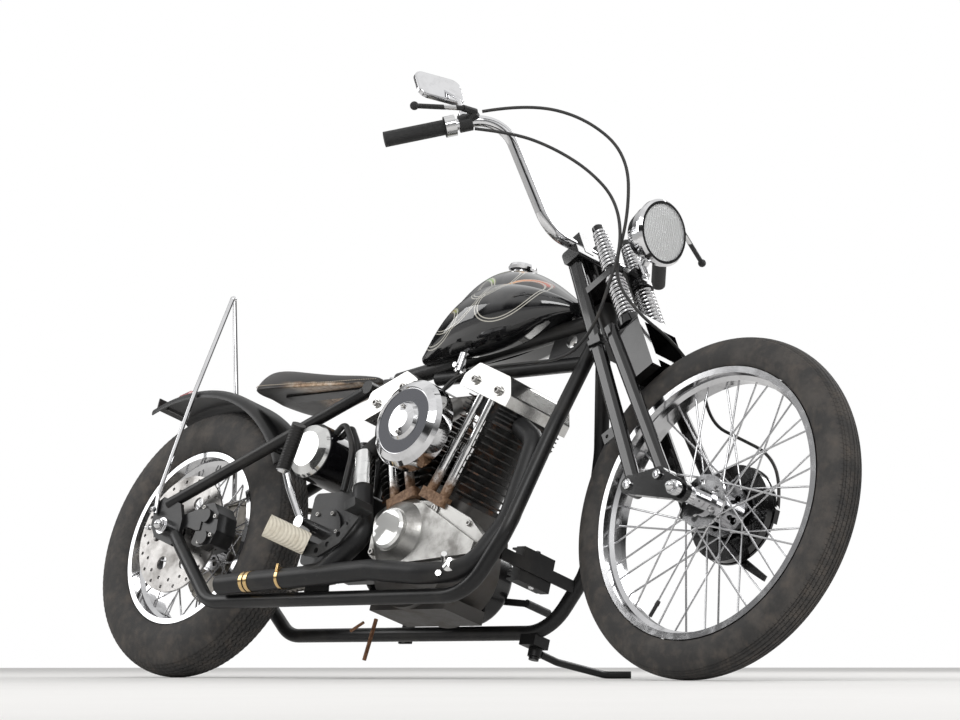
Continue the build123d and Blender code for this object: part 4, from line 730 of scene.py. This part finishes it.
def make_fittings(sizes):
    """Screws, nuts, clamps and small plumbing, one piece for each finish and body."""
    bm = bmesh.new()
    out, face, height = COVER_SCREW
    for lean in (sizes.vee, -sizes.vee):
        tilt = Matrix.Translation((sizes.crank_x, 0, sizes.crank_z)) @ Matrix.Rotation(lean, 4, "Y")
        for x in (-out, out):
            cap_screw(bm, tilt @ tip_to((x, face, height), (x, -130, height)), 15, 6)
    # screws round the cone cover: ahead, height, size across
    for x, z, across in ((732, 6, 15), (884, 18, 15), (1000, -22, 13), (1030, -92, 13), (918, -120, 15),
                         (790, -122, 13), (716, -76, 15)):
        cap_screw(bm, tip_to((x, -93.6, z), (x, -114, z)), across, 6)
    for x, z in ((822, 160), (822, 220)):
        cap_screw(bm, tip_to((x, -191.5, z), (x, -210, z)), 9, 4)
    for angle in range(0, 360, 60):
        a, b = math.cos(math.radians(angle)), math.sin(math.radians(angle))
        x, z, face = GEARBOX_COVER
        cap_screw(bm, tip_to((x + 50 * a, face, z + 50 * b), (x + 50 * a, -110, z + 50 * b)), 10, 5)
        x, z, face = CLUTCH_COVER
        cap_screw(bm, tip_to((x + 66 * a, face, z + 66 * b), (x + 66 * a, 180, z + 66 * b)), 9, 3)
    for x, z in ((120, -36), (158, -20), (160, 26), (112, 50)):
        cap_screw(bm, tip_to((x, -103.6, z), (x, -120, z)), 11, 6)
    for x, z in ((1105, 415), (1092, 470)):
        bar(bm, (x, -6, z), (x, 6, z), 10)
    show("cover_screws", bm, "bolt_steel", "frame", BIKE)

    bm = bmesh.new()
    for side in (-1, 1):
        hex_nut(bm, tip_to((0, side * 133.8, 0), (0, side * 160, 0)), 27, 9, 12 if side < 0 else 0)
    for x, z in ((1122, -62), (1122, -134)):
        hex_nut(bm, tip_to((x, 0, z), (x + 20, 0, z)), 12, 6)
    hex_nut(bm, tip_to((548, 0, 375), (548, 0, 395)), 17, 8)
    for side in (-1, 1):
        hex_nut(bm, tip_to((-50, side * 128, 44), (-50, side * 140, 44)), 12, 7, 5)
        bar(bm, (-88, side * 112, 6), (-62, side * 112, 6), 9)
        hex_nut(bm, tip_to((-72, side * 112, 6), (-90, side * 112, 6)), 13, 6)
    show("chrome_nuts", bm, "chrome", "frame", BIKE)

    bm = bmesh.new()
    length = PIPE_FRONT.x - PIPE_REAR.x
    # bands round the straight pipe: distance from its rear end, width, diameter
    for reach, wide, across in ((88, 11, 48.6), (104, 11, 48.6), (208, 9, 48.2)):
        a = PIPE_REAR.lerp(PIPE_FRONT, reach / length)
        bar(bm, a, PIPE_REAR.lerp(PIPE_FRONT, (reach + wide) / length), across, 40)
    bar(bm, a + Vector((4, -22, 10)), a + Vector((4, -22, 26)), 9, 10)
    show("exhaust_clamps", bm, "brass_band", "frame", BIKE)

    bm = bmesh.new()
    elbow = [(620, -91, 152), (640, -102, 118), (656, -112, 88), (672, -121, 60)]
    for a, b in zip(elbow, elbow[1:]):
        bar(bm, a, b, 49, 28)
    bar(bm, (1010, -138, -150), (1034, -142, -132), 42, 28)
    bar(bm, (1012, -150, -128), (1032, -176, -118), 13, 14)
    bar(bm, (1004, -146, -158), (1018, -168, -156), 13, 14)
    show("chrome_clamps", bm, "bright_cover", "frame", BIKE)

    bm = bmesh.new()
    bar(bm, (664, 8, -196), (664, 0, -292), 9, 14)
    bar(bm, (600, 30, -196), (560, 34, -214), 7, 12)
    show("drain_tube", bm, "rusty_steel", "frame", BIKE)

    bm = bmesh.new()
    hex_nut(bm, tip_to((0, -125.8, 0), (0, -150, 0)), 25, 4, 13)
    hex_nut(bm, tip_to((0, 125.8, 0), (0, 150, 0)), 25, 4, 13)
    show("axle_acorns", bm, "chrome", "fork", HUB)

    bm = bmesh.new()
    for side in (-1, 1):
        cap_screw(bm, tip_to((-8, side * 105.8, 94), (-8, side * 130, 94)), 22, 6)
        cap_screw(bm, tip_to((67, side * 107.8, 64), (67, side * 130, 64)), 20, 6)
        for v in (2, 26):
            cap_screw(bm, tip_to((v, side * 32, 804.8), (v, side * 32, 820)), 10, 6)
    hex_nut(bm, tip_to((0, 0, 761.8), (0, 0, 780)), 30, 8, 6)
    for side in (-1, 1):
        hex_nut(bm, tip_to((82, side * 45, 773.8), (82, side * 45, 800)), 15, 6, 5)
    show("fork_screws", bm, "chrome", "fork", FORK)

    bm = bmesh.new()
    v, w = LAMP_AT
    bar(bm, (v - 34, 0, w - 10), (v - 18, 0, w - 4), 14, 16, 20)
    show("lamp_bulb", bm, "bright_cover", "fork", FORK)

    valves = (("front_valve", "front_wheel", HUB, 255), ("rear_valve", "rear_wheel", BIKE, 190))
    for name, body, place, radius in valves:
        bm = bmesh.new()
        turn = math.radians(208)
        out = Vector((math.cos(turn), 0, math.sin(turn)))
        bar(bm, out * radius, out * (radius - 26), 8, 14)
        bar(bm, out * (radius - 26), out * (radius - 36), 10, 14, 8)
        show(name, bm, "black_rubber", body, place)


DRESS = {
    "frame_satin": "frame_backbone frame_right_rail frame_left_rail frame_rear_stays side_stand gearbox"
                   " rear_fender regulator",
    "fork_gloss": "fork_rigid_legs fork_spring_legs fork_rockers brake_plate front_drum",
    "caliper_black": "brake_caliper",
    "chrome": "fork_springs handlebar mirror headlight front_axle rear_axle fuel_fittings sissy_bar",
    "kick_chrome": "kick_starter",
    "spoke_chrome": "front_rim rear_rim",
    "tube_chrome": "pushrod_tubes",
    "case_cast": "carburettor",
    "case_dark": "engine_cases",
    "cone_cover": "cam_cover",
    "head_and_cover": "rocker_boxes",
    "fin_enamel": "cylinders",
    "cleaner_cover": "air_cleaner",
    "pipe_matt": "exhaust",
    "case_gloss": "primary_case",
    "oil_tank_enamel": "oil_tank",
    "tank_lacquer": "fuel_tank",
    "black_rubber": "oil_hoses",
    "grip_rubber": "hand_controls",
    "peg_rubber": "foot_controls",
    "red_lens": "tail_lamp",
    "disc_steel": "brake_disc",
    "chain_steel": "rear_sprocket",
    "lamp_glass": "headlight_lens",
}


def dress_nodes(sizes):
    """Gives every solid that stays visible its finish."""
    for finish, names in DRESS.items():
        for name in names.split():
            for place in nodes[name].material_slots:
                place.material = Finish.made[finish]


def make_stage(sizes):
    """The camera, the pale floor, the lamps and the white surround."""
    scene = bpy.context.scene
    scene.view_settings.view_transform = "Standard"
    lens = bpy.data.cameras.new("photo_camera")
    lens.lens = sizes.lens
    lens.sensor_width = 36
    lens.clip_end = 100
    camera = bpy.data.objects.new("photo_camera", lens)
    right, up = Vector((0.71227, 0.70191, -0.00025)), Vector((0.08367, -0.08455, 0.9929))
    turn = Matrix((right, up, right.cross(up))).transposed().to_4x4()
    camera.matrix_world = Matrix.Translation(sizes.camera_place) @ turn
    scene.collection.objects.link(camera)
    scene.camera = camera

    f = Finish("pale_floor")
    shade = f.blend(f.noise(3.0, 5.0), (0.86, 0.85, 0.835), (0.8, 0.79, 0.775))
    f.surface(shade, 0.75, 0.0, f.noise(120.0, 3.0), 0.001, 0.1)
    bm = bmesh.new()
    bmesh.ops.create_circle(bm, cap_ends=True, segments=96, radius=14.0)
    mesh = bpy.data.meshes.new("floor")
    bm.to_mesh(mesh)
    bm.free()
    floor = bpy.data.objects.new("floor", mesh)
    mesh.materials.append(Finish.made["pale_floor"])
    scene.collection.objects.link(floor)

    # name, place, aim, width, height, watts
    lamps = [("key_lamp", (2.6, -3.4, 3.4), (0.1, 0, 0.5), 2.4, 1.6, 75),
             ("fill_lamp", (-3.6, -2.2, 2.2), (-0.3, 0, 0.5), 2.0, 2.0, 35),
             ("rim_lamp", (0.4, 3.6, 3.0), (0, 0, 0.5), 3.0, 1.2, 60)]
    for name, place, aim, wide, tall, watts in lamps:
        light = bpy.data.lights.new(name, "AREA")
        light.shape = "RECTANGLE"
        light.size, light.size_y, light.energy = wide, tall, watts
        lamp = bpy.data.objects.new(name, light)
        away = Vector(aim) - Vector(place)
        lamp.matrix_world = Matrix.Translation(place) @ away.to_track_quat("-Z", "Y").to_matrix().to_4x4()
        scene.collection.objects.link(lamp)

    world = bpy.data.worlds.new("white_surround")
    world.use_nodes = True
    scene.world = world
    f = Finish.__new__(Finish)
    f.material, f.tree = world, world.node_tree
    f.tree.nodes.clear()
    sky = f.node("ShaderNodeTexCoord", out="Generated")
    height = f.node("ShaderNodeSeparateXYZ", None, {0: sky}, 2)
    side = f.node("ShaderNodeSeparateXYZ", None, {0: sky}, 0)
    shine = height.between(0.25, 0.7) * 0.85 + height.between(0.12, 0.02) * 0.5 + 0.03
    strips = ((side * 9.0).math("SINE").between(0.2, 0.8)) * height.between(0.05, 0.3) * 0.35
    rays = [f.node("ShaderNodeLightPath", out=out) for out in ("Is Camera Ray", "Is Glossy Ray")]
    level = (1 - rays[0]) * (1 - rays[1]) * 0.62 + rays[1] * (shine + strips).least(1.0) + rays[0]
    back = f.node("ShaderNodeBackground", None, {"Color": (1.0, 1.0, 1.0), "Strength": level})
    output = f.tree.nodes.new("ShaderNodeOutputWorld")
    f.tree.links.new(back.socket, output.inputs["Surface"])


class ChopperSizes(bpy.types.PropertyGroup):
    """Sizes that the pieces share, in the bike's own millimetres unless a unit says otherwise."""

    crank_x: bpy.props.FloatProperty(
        name="Crank ahead", description="Crankshaft ahead of the rear axle, in mm", default=827.0)
    crank_z: bpy.props.FloatProperty(
        name="Crank height", description="Crankshaft above the rear axle, in mm", default=-78.0)
    vee: bpy.props.FloatProperty(
        name="Half vee", description="Lean of each cylinder", default=math.radians(22.5), subtype="ANGLE")
    cone_x: bpy.props.FloatProperty(
        name="Cone ahead", description="Cone cover ahead of the rear axle, in mm", default=795.0)
    cone_z: bpy.props.FloatProperty(
        name="Cone height", description="Cone cover above the rear axle, in mm", default=-38.0)
    cleaner_x: bpy.props.FloatProperty(
        name="Air cleaner ahead", description="Air cleaner ahead of the rear axle, in mm", default=822.0)
    cleaner_z: bpy.props.FloatProperty(
        name="Air cleaner height", description="Air cleaner above the rear axle, in mm", default=190.0)
    front_radius: bpy.props.FloatProperty(
        name="Front tyre radius", description="Front tyre radius, in mm", default=352.0)
    rear_radius: bpy.props.FloatProperty(
        name="Rear tyre radius", description="Rear tyre radius, in mm", default=331.0)
    seat_floor: bpy.props.FloatProperty(
        name="Seat underside", description="Seat underside above the rear axle, in mm", default=362.0)
    sprocket_teeth: bpy.props.IntProperty(
        name="Wheel sprocket teeth", description="Teeth of the rear wheel's sprocket", default=51)
    drive_teeth: bpy.props.IntProperty(
        name="Gearbox sprocket teeth", description="Teeth of the gearbox sprocket", default=24)
    drive_x: bpy.props.FloatProperty(
        name="Gearbox sprocket ahead", description="Ahead of the rear axle, in mm", default=560.0)
    drive_z: bpy.props.FloatProperty(
        name="Gearbox sprocket height", description="Above the rear axle, in mm", default=2.0)
    chain_y: bpy.props.FloatProperty(
        name="Chain line", description="Chain to the left of the middle, in mm", default=78.0)
    cable_diameter: bpy.props.FloatProperty(
        name="Cable diameter", description="Outside of a cable", default=0.007, unit="LENGTH")
    lens: bpy.props.FloatProperty(
        name="Lens", description="Focal length of the camera, in mm", default=94.94)
    camera_place: bpy.props.FloatVectorProperty(
        name="Camera", description="Where the camera stands", subtype="XYZ", unit="LENGTH", size=3,
        default=(3.96131, -4.0921, 0.03315))


class PieceMaker:
    """What every operator here shares."""

    bl_options = {"REGISTER", "UNDO"}
    bl_category = "Chopper"

    def execute(self, context):
        self.build(context.scene.chopper_sizes)
        return {"FINISHED"}


class CHOPPER_OT_stage(PieceMaker, bpy.types.Operator):
    """Sets up the camera, floor and lamps"""
    bl_idname = "chopper.stage"
    bl_label = "Stage"

    def build(self, sizes):
        make_stage(sizes)


class CHOPPER_OT_finishes(PieceMaker, bpy.types.Operator):
    """Makes the finishes and gives the solids theirs"""
    bl_idname = "chopper.finishes"
    bl_label = "Finishes"

    def build(self, sizes):
        make_finishes(sizes)
        dress_nodes(sizes)


class CHOPPER_OT_cables(PieceMaker, bpy.types.Operator):
    """Runs the brake and throttle cables and the petrol hose"""
    bl_idname = "chopper.cables"
    bl_label = "Cables"

    def build(self, sizes):
        make_cables(sizes)


class CHOPPER_OT_tyres(PieceMaker, bpy.types.Operator):
    """Makes both tyres with their treads"""
    bl_idname = "chopper.tyres"
    bl_label = "Tyres"

    def build(self, sizes):
        make_tyres(sizes)


class CHOPPER_OT_seat(PieceMaker, bpy.types.Operator):
    """Makes the padded seat and its stitching"""
    bl_idname = "chopper.seat"
    bl_label = "Seat"

    def build(self, sizes):
        make_seat(sizes)


class CHOPPER_OT_chain(PieceMaker, bpy.types.Operator):
    """Makes the drive chain link by link"""
    bl_idname = "chopper.chain"
    bl_label = "Chain"

    def build(self, sizes):
        make_chain(sizes)


class CHOPPER_OT_fittings(PieceMaker, bpy.types.Operator):
    """Adds screws, nuts, clamps and small plumbing"""
    bl_idname = "chopper.fittings"
    bl_label = "Fittings"

    def build(self, sizes):
        make_fittings(sizes)


MAKERS = (CHOPPER_OT_finishes, CHOPPER_OT_stage, CHOPPER_OT_cables, CHOPPER_OT_tyres, CHOPPER_OT_seat,
          CHOPPER_OT_chain, CHOPPER_OT_fittings)


class CHOPPER_PT_dressing(bpy.types.Panel):
    """Lists the makers and the sizes in the 3D view's sidebar"""
    bl_label = "Parked chopper"
    bl_space_type = "VIEW_3D"
    bl_region_type = "UI"
    bl_category = "Chopper"

    def draw(self, context):
        for maker in MAKERS:
            self.layout.operator(maker.bl_idname)
        for name in ChopperSizes.__annotations__:
            self.layout.prop(context.scene.chopper_sizes, name)


def register():
    for kind in (ChopperSizes, *MAKERS, CHOPPER_PT_dressing):
        bpy.utils.register_class(kind)
    bpy.types.Scene.chopper_sizes = bpy.props.PointerProperty(type=ChopperSizes)


def unregister():
    del bpy.types.Scene.chopper_sizes
    for kind in reversed((ChopperSizes, *MAKERS, CHOPPER_PT_dressing)):
        bpy.utils.unregister_class(kind)


def main():
    register()
    bpy.ops.chopper.finishes()
    bpy.ops.chopper.stage()
    bpy.ops.chopper.cables()
    bpy.ops.chopper.tyres()
    bpy.ops.chopper.seat()
    bpy.ops.chopper.chain()
    bpy.ops.chopper.fittings()


if __name__ == "__main__":
    main()
